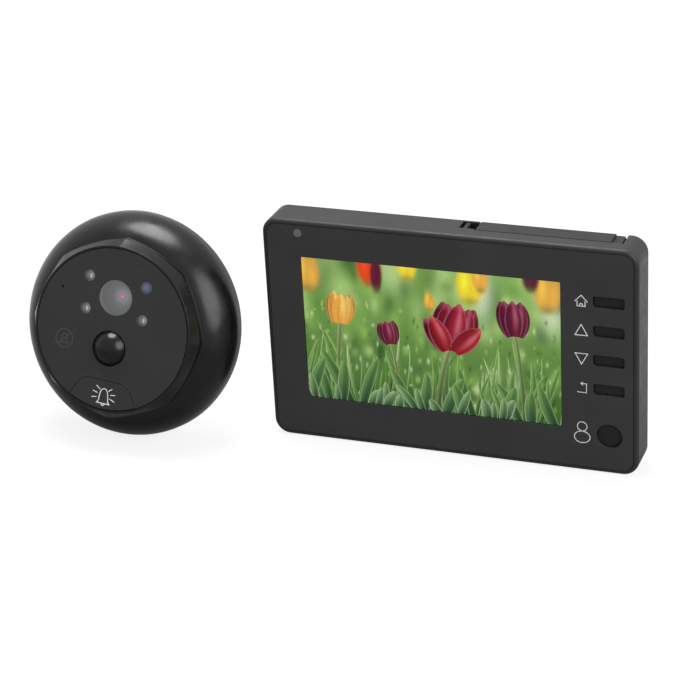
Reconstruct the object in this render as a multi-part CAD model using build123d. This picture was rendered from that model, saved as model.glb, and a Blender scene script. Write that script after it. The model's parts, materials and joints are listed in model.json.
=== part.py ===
"""Peephole door camera: an indoor screen unit that hangs on its door bracket, and the outdoor camera and
bell unit that goes on the other side of the door.

Millimetres. X to the right, Z up, both fronts face -Y. The origin is the middle of the bracket's two through
screws, on the face of the door. Each unit is drawn in its own coordinates, x and z across its front face and
depth backwards from that face, and is then put in its place.
"""
import os
from math import cos, pi, radians, sin

from build123d import *

# Clearances that many pieces share
SEAT_GAP = 0.1        # between a piece and what it is seated on
SLIDE_GAP = 0.2       # around a key, knob or button in its opening
OPENING_GAP = 0.25    # around a cover or lid in its opening
GROOVE = 0.18         # round the front panel
DOOR_GROOVE = 0.45    # in front of the battery door's strip
OVERRUN = 2.0         # how far a cut runs past the surface that it opens

# Indoor unit: housing
HOUSING_W = 137.0
HOUSING_H = 85.6
HOUSING_T = 14.6
HOUSING_CORNER = 5.8
HOUSING_WALL = 2.1
HOUSING_BACK = 1.5
RIM_W = 1.65          # rim seen round the front panel
RIM_FILLET = 1.5
REAR_FILLET = 1.0

# Indoor unit: front panel
PANEL_T = 1.6
PANEL_LIP = 0.6       # what is left of the panel in front of the screen's glass
BEZEL_W = 41.6        # of the front beside the picture, both sides together
BEZEL_H = 30.2        # above and below the picture, together
WINDOW_W = HOUSING_W - BEZEL_W
WINDOW_H = HOUSING_H - BEZEL_H
SCREEN_X = -6.7
SCREEN_Z = 1.26
WINDOW_CORNER = 0.3

# Indoor unit: screen module
LCD_BORDER_W = 9.0    # hidden round the picture, both sides together
LCD_BORDER_H = 11.2
LCD_W = WINDOW_W + LCD_BORDER_W
LCD_H = WINDOW_H + LCD_BORDER_H
LCD_DROP = 1.3        # the module's wider border is below the picture
LCD_GLASS_T = 1.8
LCD_CORNER = 0.5
BACKLIGHT_T = 1.4
LCD_RIB_W = 1.0
LCD_RIB_RISE = 2.0
LCD_FLEX_W = 24.0
LCD_FLEX_X = -14.5
LCD_FLEX_T = 0.3
LCD_FLEX_TAIL = 4.0

# Indoor unit: keys
KEY_EDGE_ROOM = 10.52  # from the keys' middle to the housing's right side
KEY_TOP_SHARE = 0.26706
KEY_PITCH_SHARE = 0.12932
ROUND_KEY_SHARE = 0.32769
KEY_X = HOUSING_W / 2 - KEY_EDGE_ROOM
KEY_TOP_Z = KEY_TOP_SHARE * HOUSING_H
KEY_PITCH = KEY_PITCH_SHARE * HOUSING_H
KEY_W = 11.2
KEY_H = 4.3
KEY_CORNER = 1.0
ROUND_KEY_EDGE_ROOM = 10.35
ROUND_KEY_X = HOUSING_W / 2 - ROUND_KEY_EDGE_ROOM
ROUND_KEY_Z = -ROUND_KEY_SHARE * HOUSING_H
ROUND_KEY_R = 4.65
KEY_RECESS = 0.9
KEY_EDGE = 0.25
KEY_FLANGE_W = 0.8
KEY_FLANGE_T = 0.8
KEY_STEM_R = 1.2
KEY_TRAVEL = 0.3

# Indoor unit: boards
BOARD_DEPTH = 6.2
BOARD_T = 1.2
BOARD_LEFT_GAP = 0.6
BOARD_RIGHT_X = 8.8
BOARD_EDGE_ROOM = 9.2  # from the board to the housing's top and bottom
BOARD_HALF_H = HOUSING_H / 2 - BOARD_EDGE_ROOM
BOARD_EAR_ROOM = 3.2
BOARD_EAR_TOP_Z = HOUSING_H / 2 - BOARD_EAR_ROOM
BOARD_EAR_SIDE_ROOM = 8.5
BOARD_EAR_LEFT_X = BOARD_EAR_SIDE_ROOM - HOUSING_W / 2
BOARD_POST_R = 2.3
BOARD_POST_LEFT_ROOM = 11.0
BOARD_POST_LEFT_X = BOARD_POST_LEFT_ROOM - HOUSING_W / 2
BOARD_POST_RIGHT_INSET = 7.3
BOARD_POST_RIGHT_X = BOARD_RIGHT_X - BOARD_POST_RIGHT_INSET
BOARD_POST_INSET = 3.6
BOARD_POST_Z = BOARD_HALF_H - BOARD_POST_INSET
BOARD_SCREW_R = 0.9
BOARD_SCREW_HEAD_R = 1.8
BOARD_SCREW_HEAD_T = 1.0
BOARD_SCREW_L = 5.0
KEY_BOARD_W = 11.8
KEY_BOARD_TOP_MARGIN = 5.5
KEY_BOARD_BOTTOM_MARGIN = 6.0
SWITCH_W = 4.5
SWITCH_BASE_T = 1.5
SWITCH_PLUNGER_R = 1.0
SWITCH_PLUNGER_T = 0.3
KEY_FLEX_W = 10.0
KEY_FLEX_T = 0.2
KEY_FLEX_Z = -16.0
KEY_FLEX_LAP = 4.0

# Indoor unit: chips on the back of the board. Places are shares of the housing's width and height, and
# then come width, height and thickness in steps.
CHIP_STEP = 1.0
CHIP_SHARES = {
    "processor": (-0.292, 0.152, 13.0, 13.0, 1.4),
    "radio": (-0.073, 0.234, 12.0, 10.0, 2.0),
    "power_coil": (-0.029, -0.117, 6.0, 6.0, 3.0),
    "converter": (-0.102, -0.1285, 5.0, 5.0, 1.0),
    "capacitor": (-0.0146, 0.0467, 4.0, 7.0, 2.4),
    "amplifier": (-0.102, -0.28, 6.0, 5.0, 1.2),
}
MEMORY_W = 10.0
MEMORY_H = 8.0
MEMORY_T = 1.1
MEMORY_GAP = 1.004  # from the memory chip to the socket beside it
MEMORY_Z_SHARE = -0.035
CRYSTAL_W = 7.0
CRYSTAL_H = 3.2
CRYSTAL_T = 1.2
CRYSTAL_GAP = 1.7   # from the crystal to the post beside it
CRYSTAL_Z_SHARE = 0.3154

# Indoor unit: status light
LIGHT_SIDE_ROOM = 13.7
LIGHT_TOP_ROOM = 4.8
LIGHT_X = LIGHT_SIDE_ROOM - HOUSING_W / 2
LIGHT_Z = HOUSING_H / 2 - LIGHT_TOP_ROOM
LIGHT_R = 1.6
LED_CHIP_W = 2.0
LED_CHIP_T = 0.8

# Indoor unit: places of the battery bay and door, beside the board
BAY_BOARD_GAP = 0.7
BAY_LEFT_X = BOARD_RIGHT_X + BAY_BOARD_GAP
DOOR_LAND = 1.0
DOOR_LEFT_X = BAY_LEFT_X - DOOR_LAND
DOOR_SIDE_ROOM = 6.8
DOOR_RIGHT_X = HOUSING_W / 2 - DOOR_SIDE_ROOM
DOOR_BOTTOM_Z = -3.3
BAY_RIGHT_INSET = 4.9
BAY_RIGHT_X = DOOR_RIGHT_X - BAY_RIGHT_INSET

# Indoor unit: power slide switch in the top
SWITCH_SLOT_OUTSET = 5.6
SWITCH_SLOT_X = DOOR_LEFT_X - SWITCH_SLOT_OUTSET
SWITCH_SLOT_DEPTH = 7.0
SWITCH_SLOT_L = 5.8
POWER_BODY_W = 7.0
POWER_BODY_H = 3.2
POWER_BODY_L = 4.8
POWER_CHANNEL_H = 1.6
POWER_CHANNEL_L = 3.2
KNOB_INSET = 1.4
KNOB_X = SWITCH_SLOT_X + KNOB_INSET
KNOB_W = 1.5
KNOB_L = 2.6
KNOB_FOOT_W = 1.0
KNOB_DROP = 0.2
KNOB_END_GAP = 0.3  # from the ridge to the slot's front and back
KNOB_TRAVEL = 2.0

# Indoor unit: battery door and hinge
DOOR_SWING_GAP = 0.65  # the strip's far end swings outward a little as the door opens
DOOR_FRONT_DEPTH = 6.0
DOOR_T = 1.3
DOOR_STRIP_INSET = 4.5
DOOR_STRIP_RIGHT_X = DOOR_RIGHT_X - DOOR_STRIP_INSET
DOOR_TAB_GAP = 1.1
DOOR_TAB_RIGHT_X = DOOR_RIGHT_X - DOOR_TAB_GAP
DOOR_TAB_DROP = 0.9
DOOR_TAB_INSET = 0.8
DOOR_CORNER = 0.4
HINGE_INSET = 2.3
HINGE_X = DOOR_RIGHT_X - HINGE_INSET
HINGE_R = 1.5
HINGE_PIN_R = 0.6
HINGE_PIN_FIT = 0.03
HINGE_RUN_FIT = 0.06
HINGE_LUG_H = 3.0
HINGE_LUG_ROOM = 5.8
HINGE_LUG_Z = HOUSING_H / 2 - HINGE_LUG_ROOM
HINGE_LUG_GAP = 0.3

# Indoor unit: battery bay, pack and contacts
BAY_WALL = 0.8
BAY_FLOOR_DEPTH = 7.5
BAY_FLOOR_T = 0.6
BAY_WEB_DEPTH = 4.6
BATTERY_SIDE_ROOM = 3.8
BATTERY_W = BAY_RIGHT_X - BAY_LEFT_X - BATTERY_SIDE_ROOM
BATTERY_TOP_ROOM = 8.1
BATTERY_H = HOUSING_H / 2 - DOOR_BOTTOM_Z - BATTERY_TOP_ROOM
BATTERY_T = 4.9
BATTERY_CORNER = 1.6
CONTACT_COUNT = 3
CONTACT_PITCH = 4.0
CONTACT_W = 1.6
CONTACT_T = 0.3
CONTACT_RISE = 3.6
CONTACT_BOW = 1.0

# Indoor unit: loudspeaker
SPEAKER_SIDE_ROOM = 34.5
SPEAKER_X = HOUSING_W / 2 - SPEAKER_SIDE_ROOM
SPEAKER_RISE = 1.55   # above the middle between the battery bay and the housing's foot
SPEAKER_Z = (DOOR_BOTTOM_Z - HOUSING_H / 2) / 2 + SPEAKER_RISE
SPEAKER_R = 11.5
SPEAKER_T = 4.6
SPEAKER_MAGNET_R = 6.0
SPEAKER_FRAME_T = 1.6
SPEAKER_CONE_R = 9.6
SPEAKER_CONE_T = 0.5
SPEAKER_RING_W = 1.0
SPEAKER_RING_L = 2.6
GRILLE_SLOTS = 7
GRILLE_SLOT_H = 1.1
GRILLE_PITCH = 2.3
GRILLE_R = 9.0

# Indoor unit: sockets
USB_Z = -14.0
USB_W = 7.6
USB_H = 2.8
USB_L = 5.4
USB_SHELL = 0.4
USB_GAP = 0.5
CARD_Z = 8.0
CARD_W = 14.0
CARD_H = 1.8
CARD_L = 14.0
CARD_SHELL = 0.35
RIBBON_W = 16.0
RIBBON_H = 5.6
RIBBON_L = 3.0
RIBBON_MOUTH_W = 12.6
RIBBON_MOUTH_H = 2.2
RIBBON_MOUTH_L = 2.2
RIBBON_PORT_W = 20.0
RIBBON_PORT_H = 18.0
RIBBON_PORT_CORNER = 2.0

# Indoor unit: screws that hold the front panel
SCREW_LEFT_ROOM = 5.0
SCREW_RIGHT_ROOM = 4.5
SCREW_TOP_ROOM = 6.2
SCREW_LEFT_X = SCREW_LEFT_ROOM - HOUSING_W / 2
SCREW_RIGHT_X = HOUSING_W / 2 - SCREW_RIGHT_ROOM
SCREW_HALF_Z = HOUSING_H / 2 - SCREW_TOP_ROOM
PANEL_BOSS_R = 2.2
PANEL_BOSS_END = 8.9
COLUMN_R = 2.6
SCREW_SEAT_DEPTH = 11.0
SCREW_HEAD_R = 1.8
SCREW_HEAD_T = 1.3
SCREW_HEAD_GAP = 0.2
SCREW_R = 1.0
SCREW_END_DEPTH = 4.5
SCREW_HOLE_GAP = 0.1
SCREW_DRIVE_R = 0.8
SCREW_DRIVE_DEPTH = 0.7

# Door bracket
BRACKET_X = -26.0     # its middle, measured from the middle of the indoor unit
BRACKET_W = 66.0
BRACKET_H = 64.0
BRACKET_T = 1.2
BRACKET_CORNER = 3.0
BRACKET_GAP = 1.8     # room for the heads of the bracket's screws
HOOK_SPAN_X = 50.0
HOOK_SPAN_Z = 40.0
HOOK_W = 8.0
HOOK_T = 1.2
HOOK_LIP = 4.5
HOOK_WALL_GAP = 0.4
HOOK_SIDE_GAP = 0.3
HOOK_REST_GAP = 0.2
CABLE_WINDOW_W = 14.0
CABLE_WINDOW_H = 6.0
THROUGH_SCREW_SPAN = 11.4
THROUGH_HOLE_R = 1.7
CORNER_HOLE_R = 1.8
CORNER_SPAN_X = 59.0
CORNER_SPAN_Z = 56.0

# Outdoor unit: place of its face centre from the middle of the indoor unit's face, and its lean
OUTDOOR_X = -120.4
OUTDOOR_FORWARD = 22.3
OUTDOOR_Z = 2.9
OUTDOOR_LEAN_ANGLE = -16.4
OUTDOOR_ROLL_ANGLE = 6.2

# Outdoor unit: shell, as radius and depth of its round profile
BODY_R = 41.6
FACE_SHARE = 0.71154
FACE_R = FACE_SHARE * BODY_R
FACE_T = 2.1
FACE_GAP = 0.2
COLLAR_W = 3.6        # from the face to the corners of the eight-sided collar
COLLAR_R = FACE_R + COLLAR_W
COLLAR_SIDES = 8
COLLAR_BULGE = 1.5    # of each side beyond a straight one
COLLAR_TURN = 2.2
COLLAR_FRONT = 0.2
COLLAR_FRONT_W = 1.0
COLLAR_FRONT_R = FACE_R + COLLAR_FRONT_W
COLLAR_EDGE_DEPTH = 4.1
BODY_MID_DEPTH = 19.4
BODY_FRONT_W = 0.4
BODY_FRONT_R = FACE_R + BODY_FRONT_W
BODY_FRONT_DEPTH = 5.2
BODY_SHOULDER_INSET = 5.1
BODY_SHOULDER_R = BODY_R - BODY_SHOULDER_INSET
BODY_SHOULDER_DEPTH = 6.2
BODY_CURVE_DEPTH = 13.2
SHELL_WALL = 2.0
FACE_LEDGE_W = 1.4      # on which the face plate rests
BORE_R = FACE_R - FACE_LEDGE_W
SEAM_DEPTH = 21.4
SEAM_GAP = 0.3
SEAM_INSET = 0.25
BACK_DEPTH = 26.3
BACK_FLAT_INSET = 5.1
BACK_FLAT_R = BODY_R - BACK_FLAT_INSET
BACK_CURVE_INSET = 1.7
BACK_CURVE_R = BODY_R - BACK_CURVE_INSET
BACK_CURVE_DEPTH = 24.4
BACK_WALL = 2.0
SPIGOT_W = 1.9
SPIGOT_L = 2.0

# Outdoor unit: things in its face, x and z from the face's centre, their places as shares of its radius
LENS_SHARE = 0.4054
EYE_X_SHARE = 0.38345
EYE_Z_SHARE = 0.20439
PIR_SHARE = 0.2321
LENS_Z = LENS_SHARE * FACE_R
LENS_WINDOW_R = 6.5
LENS_WINDOW_T = 1.2
LENS_HOLE_R = 5.6
EYE_X = EYE_X_SHARE * FACE_R  # the small lights and the light sensor stand round the lens
EYE_Z = EYE_Z_SHARE * FACE_R
EYE_R = 2.15
EYE_WINDOW_T = 1.0
EYE_HOLE_R = 1.75
SENSOR_WINDOW_R = 2.35
PIR_Z = -PIR_SHARE * FACE_R
PIR_R = 6.2
PIR_HEIGHT = 3.6
PIR_WALL = 0.6
PIR_RING_GAP = 0.35
PIR_FLANGE_W = 1.4
PIR_FLANGE_T = 0.7
MIC_INSET = 5.14
MIC_TURN = 151.02
MIC_X = (FACE_R - MIC_INSET) * cos(radians(MIC_TURN))
MIC_Z = (FACE_R - MIC_INSET) * sin(radians(MIC_TURN))
MIC_HOLE_R = 0.5
MIC_R = 3.0
MIC_T = 2.7

# Outdoor unit: lens, sensors and lights behind the face
LENS_TUBE_R = 6.0
LENS_TUBE_FRONT = 2.6
LENS_TUBE_WALL = 1.1
LENS_TUBE_STEP = 3.4
LENS_GLASS_R = 4.7
LENS_GLASS_BULGE = 1.4
LENS_GLASS_DEPTH = 4.4
LENS_GLASS_T = 2.2
LENS_HOLDER_W = 15.0
LENS_HOLDER_T = 5.0
LENS_HOLDER_CORNER = 1.0
LED_R = 1.5
LED_FRONT = 1.7
LED_BODY_L = 3.6
LED_RIM_R = 1.75
LED_RIM_T = 0.6
LEG_R = 0.3
LEG_OFFSET = 0.8
PIR_CAN_R = 4.6
PIR_CAN_FRONT = 4.4
PIR_CAN_T = 4.2
PIR_BASE_R = 5.0
PIR_BASE_T = 0.8
PIR_LEG_OFFSET = 2.5

# Outdoor unit: bell button at the foot of the face, its outline as shares of the face's radius
BUTTON_TOP_SHARE = 0.6385
BUTTON_TOP_HALF_SHARE = 0.304
BUTTON_FOOT_SHARE = 0.9122
BUTTON_FOOT_HALF_SHARE = 0.4611
BUTTON_CORNER_SHARE = 0.2095
BUTTON_STEM_SHARE = 0.7635
BUTTON_FACE_T = 1.4
BUTTON_FLANGE_W = 0.9
BUTTON_FLANGE_T = 0.6
BUTTON_STEM_R = 1.5
BUTTON_STEM_Z = -BUTTON_STEM_SHARE * FACE_R
BUTTON_TRAVEL = 0.5

# Outdoor unit: board and what holds it
OUT_BOARD_INSET = 3.2
OUT_BOARD_R = FACE_R - OUT_BOARD_INSET
OUT_BOARD_DEPTH = 13.0
OUT_BOARD_T = 1.6
OUT_POST_R = 2.0
OUT_POST_SHARES = {"top": (0.0, 0.8243), "left": (-0.7905, 0.0676), "right": (0.7905, 0.0676),
                   "foot_left": (-0.5473, -0.4527), "foot_right": (0.5473, -0.4527)}
OUT_SCREW_R = 0.8
OUT_SCREW_HEAD_R = 1.6
OUT_SCREW_HEAD_T = 1.0
OUT_SCREW_L = 5.0
OUT_CHIP_SHARES = {
    "controller": (-0.456, -0.152, 9.0, 9.0, 1.3),
    "driver": (0.405, -0.203, 6.0, 5.0, 1.2),
    "relay_coil": (0.338, 0.27, 6.5, 6.5, 3.0),
    "capacitor": (-0.338, 0.304, 5.0, 6.0, 2.6),
}
OUT_SOCKET_W = 13.0
OUT_SOCKET_H = 5.0
OUT_SOCKET_T = 3.6
OUT_MOUTH_W = 10.4
OUT_MOUTH_H = 2.4

# Outdoor unit: back cover screws, door barrel and seal
BACK_SCREW_COUNT = 4
BACK_SCREW_INSET = 8.0
BACK_SCREW_RING_R = BODY_R - BACK_SCREW_INSET
BACK_POST_R = 2.5
BACK_POST_FRONT = 9.4
BACK_SCREW_R = 1.0
BACK_SCREW_END = 15.0
BACK_SCREW_HEAD_R = 2.0
BACK_SCREW_HEAD_T = 1.1
BARREL_R = 8.0
BARREL_L = 22.0
BARREL_FLANGE_R = 12.0
BARREL_FLANGE_T = 2.0
BARREL_SHOULDER_R = 8.8
BARREL_CHAMFER = 0.8
BARREL_SLOT_W = 10.4
BARREL_SLOT_H = 3.6
BARREL_SCREW_R = 1.25
SEAL_T = 1.5
SEAL_INNER_R = 13.0
SEAL_INSET = 0.5
SEAL_OUTER_R = BACK_FLAT_R - SEAL_INSET

# Worked out from the sizes above
PANEL_DEPTH = PANEL_T + SEAT_GAP
POCKET_W = HOUSING_W - 2 * RIM_W
POCKET_H = HOUSING_H - 2 * RIM_W
POCKET_CORNER = HOUSING_CORNER - RIM_W
CAVITY_W = HOUSING_W - 2 * HOUSING_WALL
CAVITY_H = HOUSING_H - 2 * HOUSING_WALL
CAVITY_BACK = HOUSING_T - HOUSING_BACK
TOP_Z = HOUSING_H / 2
LCD_Z = SCREEN_Z - LCD_DROP
LCD_FRONT = PANEL_LIP + SEAT_GAP
BACKLIGHT_FRONT = LCD_FRONT + LCD_GLASS_T
BACKLIGHT_BACK = BACKLIGHT_FRONT + BACKLIGHT_T
BOARD_BACK = BOARD_DEPTH + BOARD_T
SWITCH_FRONT = BOARD_DEPTH - SWITCH_BASE_T - SWITCH_PLUNGER_T
HINGE_DEPTH = HOUSING_T - HINGE_R
DOOR_FRONT_FACE = HOUSING_T - DOOR_T
LIFT_TRAVEL = HOOK_LIP + HOOK_REST_GAP
INDOOR_FRONT_Y = -(HOUSING_T + BRACKET_GAP + BRACKET_T)
OUT_BOARD_BACK = OUT_BOARD_DEPTH + OUT_BOARD_T
BACK_INNER = BACK_DEPTH - BACK_WALL
RECESS_R = FACE_R + FACE_GAP

INDOOR_PLACE = Location((-BRACKET_X, INDOOR_FRONT_Y, 0))
OUTDOOR_PLACE = Location((OUTDOOR_X - BRACKET_X, INDOOR_FRONT_Y - OUTDOOR_FORWARD, OUTDOOR_Z),
                         (OUTDOOR_LEAN_ANGLE, OUTDOOR_ROLL_ANGLE, 0))
DOOR_PLACE = Location((0, 0, 0))


def faced(sketch, depth):
    """A sketch seen from the front, x to the right and z up, at a depth."""
    return Plane(origin=(0, depth, 0), x_dir=(1, 0, 0), z_dir=(0, -1, 0)) * sketch


def slab(sketch, near, far):
    """A sketch seen from the front, x to the right and z up, as a solid between two depths."""
    return extrude(faced(sketch, near), amount=near - far)


def rect(width, height, x=0.0, z=0.0, corner=0.0):
    shape = RectangleRounded(width, height, corner) if corner else Rectangle(width, height)
    return Pos(x, z) * shape


def block(left, right, low, high, near, far):
    return slab(rect(right - left, high - low, (left + right) / 2, (low + high) / 2), near, far)


def rod(radius, x, z, near, far):
    return slab(Pos(x, z) * Circle(radius), near, far)


def upright(radius, x, depth, low, high):
    """A cylinder that stands along Z."""
    return Pos(x, depth, (low + high) / 2) * Cylinder(radius, high - low)


def turned(*curves):
    """A closed outline in radius and depth, turned about the unit's own axis."""
    return revolve(make_face(Curve() + list(curves)), Axis.Y)


def screw(radius, head_radius, head_length, x, z, seat, end):
    """A screw driven in from the back: its head behind the seat, its shank forward of it."""
    back = seat + head_length
    drive = slab(Pos(x, z) * (Rectangle(2 * SCREW_DRIVE_R, SCREW_DRIVE_R / 2)
                              + Rectangle(SCREW_DRIVE_R / 2, 2 * SCREW_DRIVE_R)),
                 back - SCREW_DRIVE_DEPTH, back + OVERRUN)
    return rod(radius, x, z, end, seat + SEAT_GAP) + rod(head_radius, x, z, seat, back) - drive


def group(pieces):
    """Separate solids that share one node."""
    return Compound(children=list(pieces))


# Indoor unit

def panel_screw_places():
    return [(x, z) for x in (SCREW_LEFT_X, SCREW_RIGHT_X) for z in (-SCREW_HALF_Z, SCREW_HALF_Z)]


def board_post_places():
    return [(x, z) for x in (BOARD_POST_LEFT_X, BOARD_POST_RIGHT_X) for z in (-BOARD_POST_Z, BOARD_POST_Z)]


def hook_places():
    """Middle of each bracket hook's foot, from the bracket's middle."""
    return [(side * HOOK_SPAN_X / 2, level * HOOK_SPAN_Z / 2) for side in (-1, 1) for level in (-1, 1)]


def housing_shell():
    outer = slab(rect(HOUSING_W, HOUSING_H, corner=HOUSING_CORNER), 0, HOUSING_T)
    outer = fillet(outer.faces().sort_by(Axis.Y)[0].edges(), RIM_FILLET)
    outer = fillet(outer.faces().sort_by(Axis.Y)[-1].edges(), REAR_FILLET)
    pocket = slab(rect(POCKET_W, POCKET_H, corner=POCKET_CORNER), -OVERRUN, PANEL_DEPTH)
    cavity_corner = HOUSING_CORNER - HOUSING_WALL
    cavity = slab(rect(CAVITY_W, CAVITY_H, corner=cavity_corner), 0, CAVITY_BACK)
    return outer - pocket - cavity


def battery_bay_walls():
    floor_back = BAY_FLOOR_DEPTH + BAY_FLOOR_T
    high = TOP_Z - DOOR_TAB_DROP - DOOR_T - OPENING_GAP
    low = DOOR_BOTTOM_Z - BAY_WALL
    back = CAVITY_BACK + HOUSING_BACK / 2
    floor = block(BAY_LEFT_X, BAY_RIGHT_X, low, high, BAY_FLOOR_DEPTH, floor_back)
    web = block(BAY_LEFT_X, BAY_RIGHT_X, high - BAY_WALL, high, BAY_WEB_DEPTH, floor_back)
    web += block(BAY_LEFT_X, BAY_RIGHT_X, high - BAY_WALL, CAVITY_H / 2 + BAY_WALL,
                 BAY_WEB_DEPTH, DOOR_FRONT_DEPTH - OPENING_GAP)
    left = block(BAY_LEFT_X, BAY_LEFT_X + BAY_WALL, low, high, BAY_FLOOR_DEPTH, CAVITY_BACK)
    right = block(BAY_RIGHT_X - BAY_WALL, BAY_RIGHT_X, low, high, BAY_FLOOR_DEPTH, CAVITY_BACK)
    foot = block(BAY_LEFT_X, BAY_RIGHT_X, low, low + BAY_WALL, BAY_FLOOR_DEPTH, back)
    return floor + web + left + right + foot


def door_cutout():
    """The opening that the battery door closes: through the back wall and round the edge into the top."""
    back_hole = block(DOOR_LEFT_X, DOOR_RIGHT_X, DOOR_BOTTOM_Z, TOP_Z + OVERRUN,
                      CAVITY_BACK - DOOR_CORNER, HOUSING_T + OVERRUN)
    top_hole = block(DOOR_LEFT_X, DOOR_RIGHT_X, CAVITY_H / 2, TOP_Z + OVERRUN,
                     DOOR_FRONT_DEPTH, HOUSING_T + OVERRUN)
    return back_hole + top_hole


def hinge_lugs():
    """Two ears on the housing that hold the ends of the hinge pin, each tied to the right wall."""
    lugs = []
    for low in (DOOR_BOTTOM_Z - HINGE_LUG_H, HINGE_LUG_Z):
        high = low + HINGE_LUG_H
        arm = block(HINGE_X, CAVITY_W / 2, low, high, HINGE_DEPTH - HINGE_R, HINGE_DEPTH + HINGE_R / 2)
        lugs.append(upright(HINGE_R, HINGE_X, HINGE_DEPTH, low, high) + arm)
    return lugs


def grille():
    slots = []
    for index in range(GRILLE_SLOTS):
        rise = (index - (GRILLE_SLOTS - 1) / 2) * GRILLE_PITCH
        width = 2 * (GRILLE_R ** 2 - rise ** 2) ** 0.5
        slots.append(slab(rect(width, GRILLE_SLOT_H, SPEAKER_X, SPEAKER_Z + rise, 0.45 * GRILLE_SLOT_H),
                          CAVITY_BACK - OVERRUN, HOUSING_T + OVERRUN))
    return slots


def make_housing():
    body = housing_shell()
    for x, z in board_post_places():
        body += rod(BOARD_POST_R, x, z, BOARD_BACK + SEAT_GAP, CAVITY_BACK)
    for x, z in panel_screw_places():
        body += rod(COLUMN_R, x, z, PANEL_BOSS_END + SEAT_GAP, CAVITY_BACK)
    ring_front = CAVITY_BACK - SPEAKER_RING_L
    ring_inner = SPEAKER_R + SEAT_GAP
    body += (rod(ring_inner + SPEAKER_RING_W, SPEAKER_X, SPEAKER_Z, ring_front, CAVITY_BACK)
             - rod(ring_inner, SPEAKER_X, SPEAKER_Z, ring_front, CAVITY_BACK))
    body += battery_bay_walls()
    body -= door_cutout()
    for lug in hinge_lugs():
        body += lug
    body -= upright(HINGE_PIN_R + HINGE_PIN_FIT, HINGE_X, HINGE_DEPTH, DOOR_BOTTOM_Z - HINGE_LUG_H,
                    HINGE_LUG_Z + HINGE_LUG_H + OVERRUN)
    for x, z in panel_screw_places():
        body -= rod(SCREW_R + SCREW_HOLE_GAP, x, z, 0, HOUSING_T + OVERRUN)
        body -= rod(SCREW_HEAD_R + SCREW_HEAD_GAP, x, z, SCREW_SEAT_DEPTH, HOUSING_T + OVERRUN)
    for x, z in board_post_places():
        body -= rod(BOARD_SCREW_R + SCREW_HOLE_GAP, x, z, 0, BOARD_BACK + BOARD_SCREW_L)
    for x, z in hook_places():
        top = z + HOOK_T / 2 + HOOK_REST_GAP
        body -= block(BRACKET_X + x - HOOK_W / 2 - HOOK_SIDE_GAP, BRACKET_X + x + HOOK_W / 2 + HOOK_SIDE_GAP,
                      z - HOOK_T / 2 - LIFT_TRAVEL - HOOK_REST_GAP, top, CAVITY_BACK - OVERRUN,
                      HOUSING_T + OVERRUN)
    body -= slab(rect(RIBBON_PORT_W, RIBBON_PORT_H, BRACKET_X, 0, RIBBON_PORT_CORNER),
                 CAVITY_BACK - OVERRUN, HOUSING_T + OVERRUN)
    body -= block(SWITCH_SLOT_X, DOOR_LEFT_X + OVERRUN, CAVITY_H / 2 - SEAT_GAP, TOP_Z + OVERRUN,
                  SWITCH_SLOT_DEPTH, SWITCH_SLOT_DEPTH + SWITCH_SLOT_L)
    left_hole = HOUSING_WALL + OVERRUN
    for z, width, height, floor in socket_ports():
        body -= block(-HOUSING_W / 2 - OVERRUN, -HOUSING_W / 2 + left_hole, z - width / 2, z + width / 2,
                      floor, floor + height)
    for cut in grille():
        body -= cut
    return body


def socket_ports():
    """Openings in the left wall for the charging plug and the memory card."""
    return [(USB_Z, USB_W + 2 * USB_GAP, USB_H + USB_GAP, BOARD_BACK - USB_GAP / 2),
            (CARD_Z, CARD_W, CARD_H, BOARD_BACK + SEAT_GAP)]


def rect_key_places():
    return {name: KEY_TOP_Z - index * KEY_PITCH
            for index, name in enumerate(("key_home", "key_up", "key_down", "key_back"))}


def make_front_panel():
    outline = rect(POCKET_W - 2 * GROOVE, POCKET_H - 2 * GROOVE, corner=POCKET_CORNER - GROOVE)
    plate = slab(outline, 0, PANEL_T)
    seat_w = LCD_W + 2 * SEAT_GAP
    seat_h = LCD_H + 2 * SEAT_GAP
    rib = slab(rect(seat_w + 2 * LCD_RIB_W, seat_h + 2 * LCD_RIB_W, SCREEN_X, LCD_Z),
               PANEL_T - PANEL_LIP, PANEL_T + LCD_RIB_RISE)
    plate += rib
    plate -= slab(rect(seat_w, seat_h, SCREEN_X, LCD_Z), PANEL_LIP, PANEL_T + LCD_RIB_RISE)
    flex_gap = rect(LCD_FLEX_W + 2 * LCD_RIB_W, 2 * LCD_RIB_W + 2 * SEAT_GAP, LCD_FLEX_X, LCD_Z - seat_h / 2)
    plate -= slab(flex_gap, PANEL_T, PANEL_T + LCD_RIB_RISE)
    plate -= slab(rect(WINDOW_W, WINDOW_H, SCREEN_X, SCREEN_Z, WINDOW_CORNER), -OVERRUN, PANEL_T)
    for x, z in panel_screw_places():
        plate += rod(PANEL_BOSS_R, x, z, PANEL_LIP, PANEL_BOSS_END)
        plate -= rod(SCREW_R + SCREW_HOLE_GAP, x, z, PANEL_T, PANEL_BOSS_END + OVERRUN)
    for z in rect_key_places().values():
        plate -= slab(rect(KEY_W, KEY_H, KEY_X, z, KEY_CORNER), -OVERRUN, PANEL_T + OVERRUN)
    plate -= rod(ROUND_KEY_R, ROUND_KEY_X, ROUND_KEY_Z, -OVERRUN, PANEL_T + OVERRUN)
    plate -= rod(LIGHT_R + SEAT_GAP, LIGHT_X, LIGHT_Z, -OVERRUN, PANEL_T + OVERRUN)
    return plate


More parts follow.
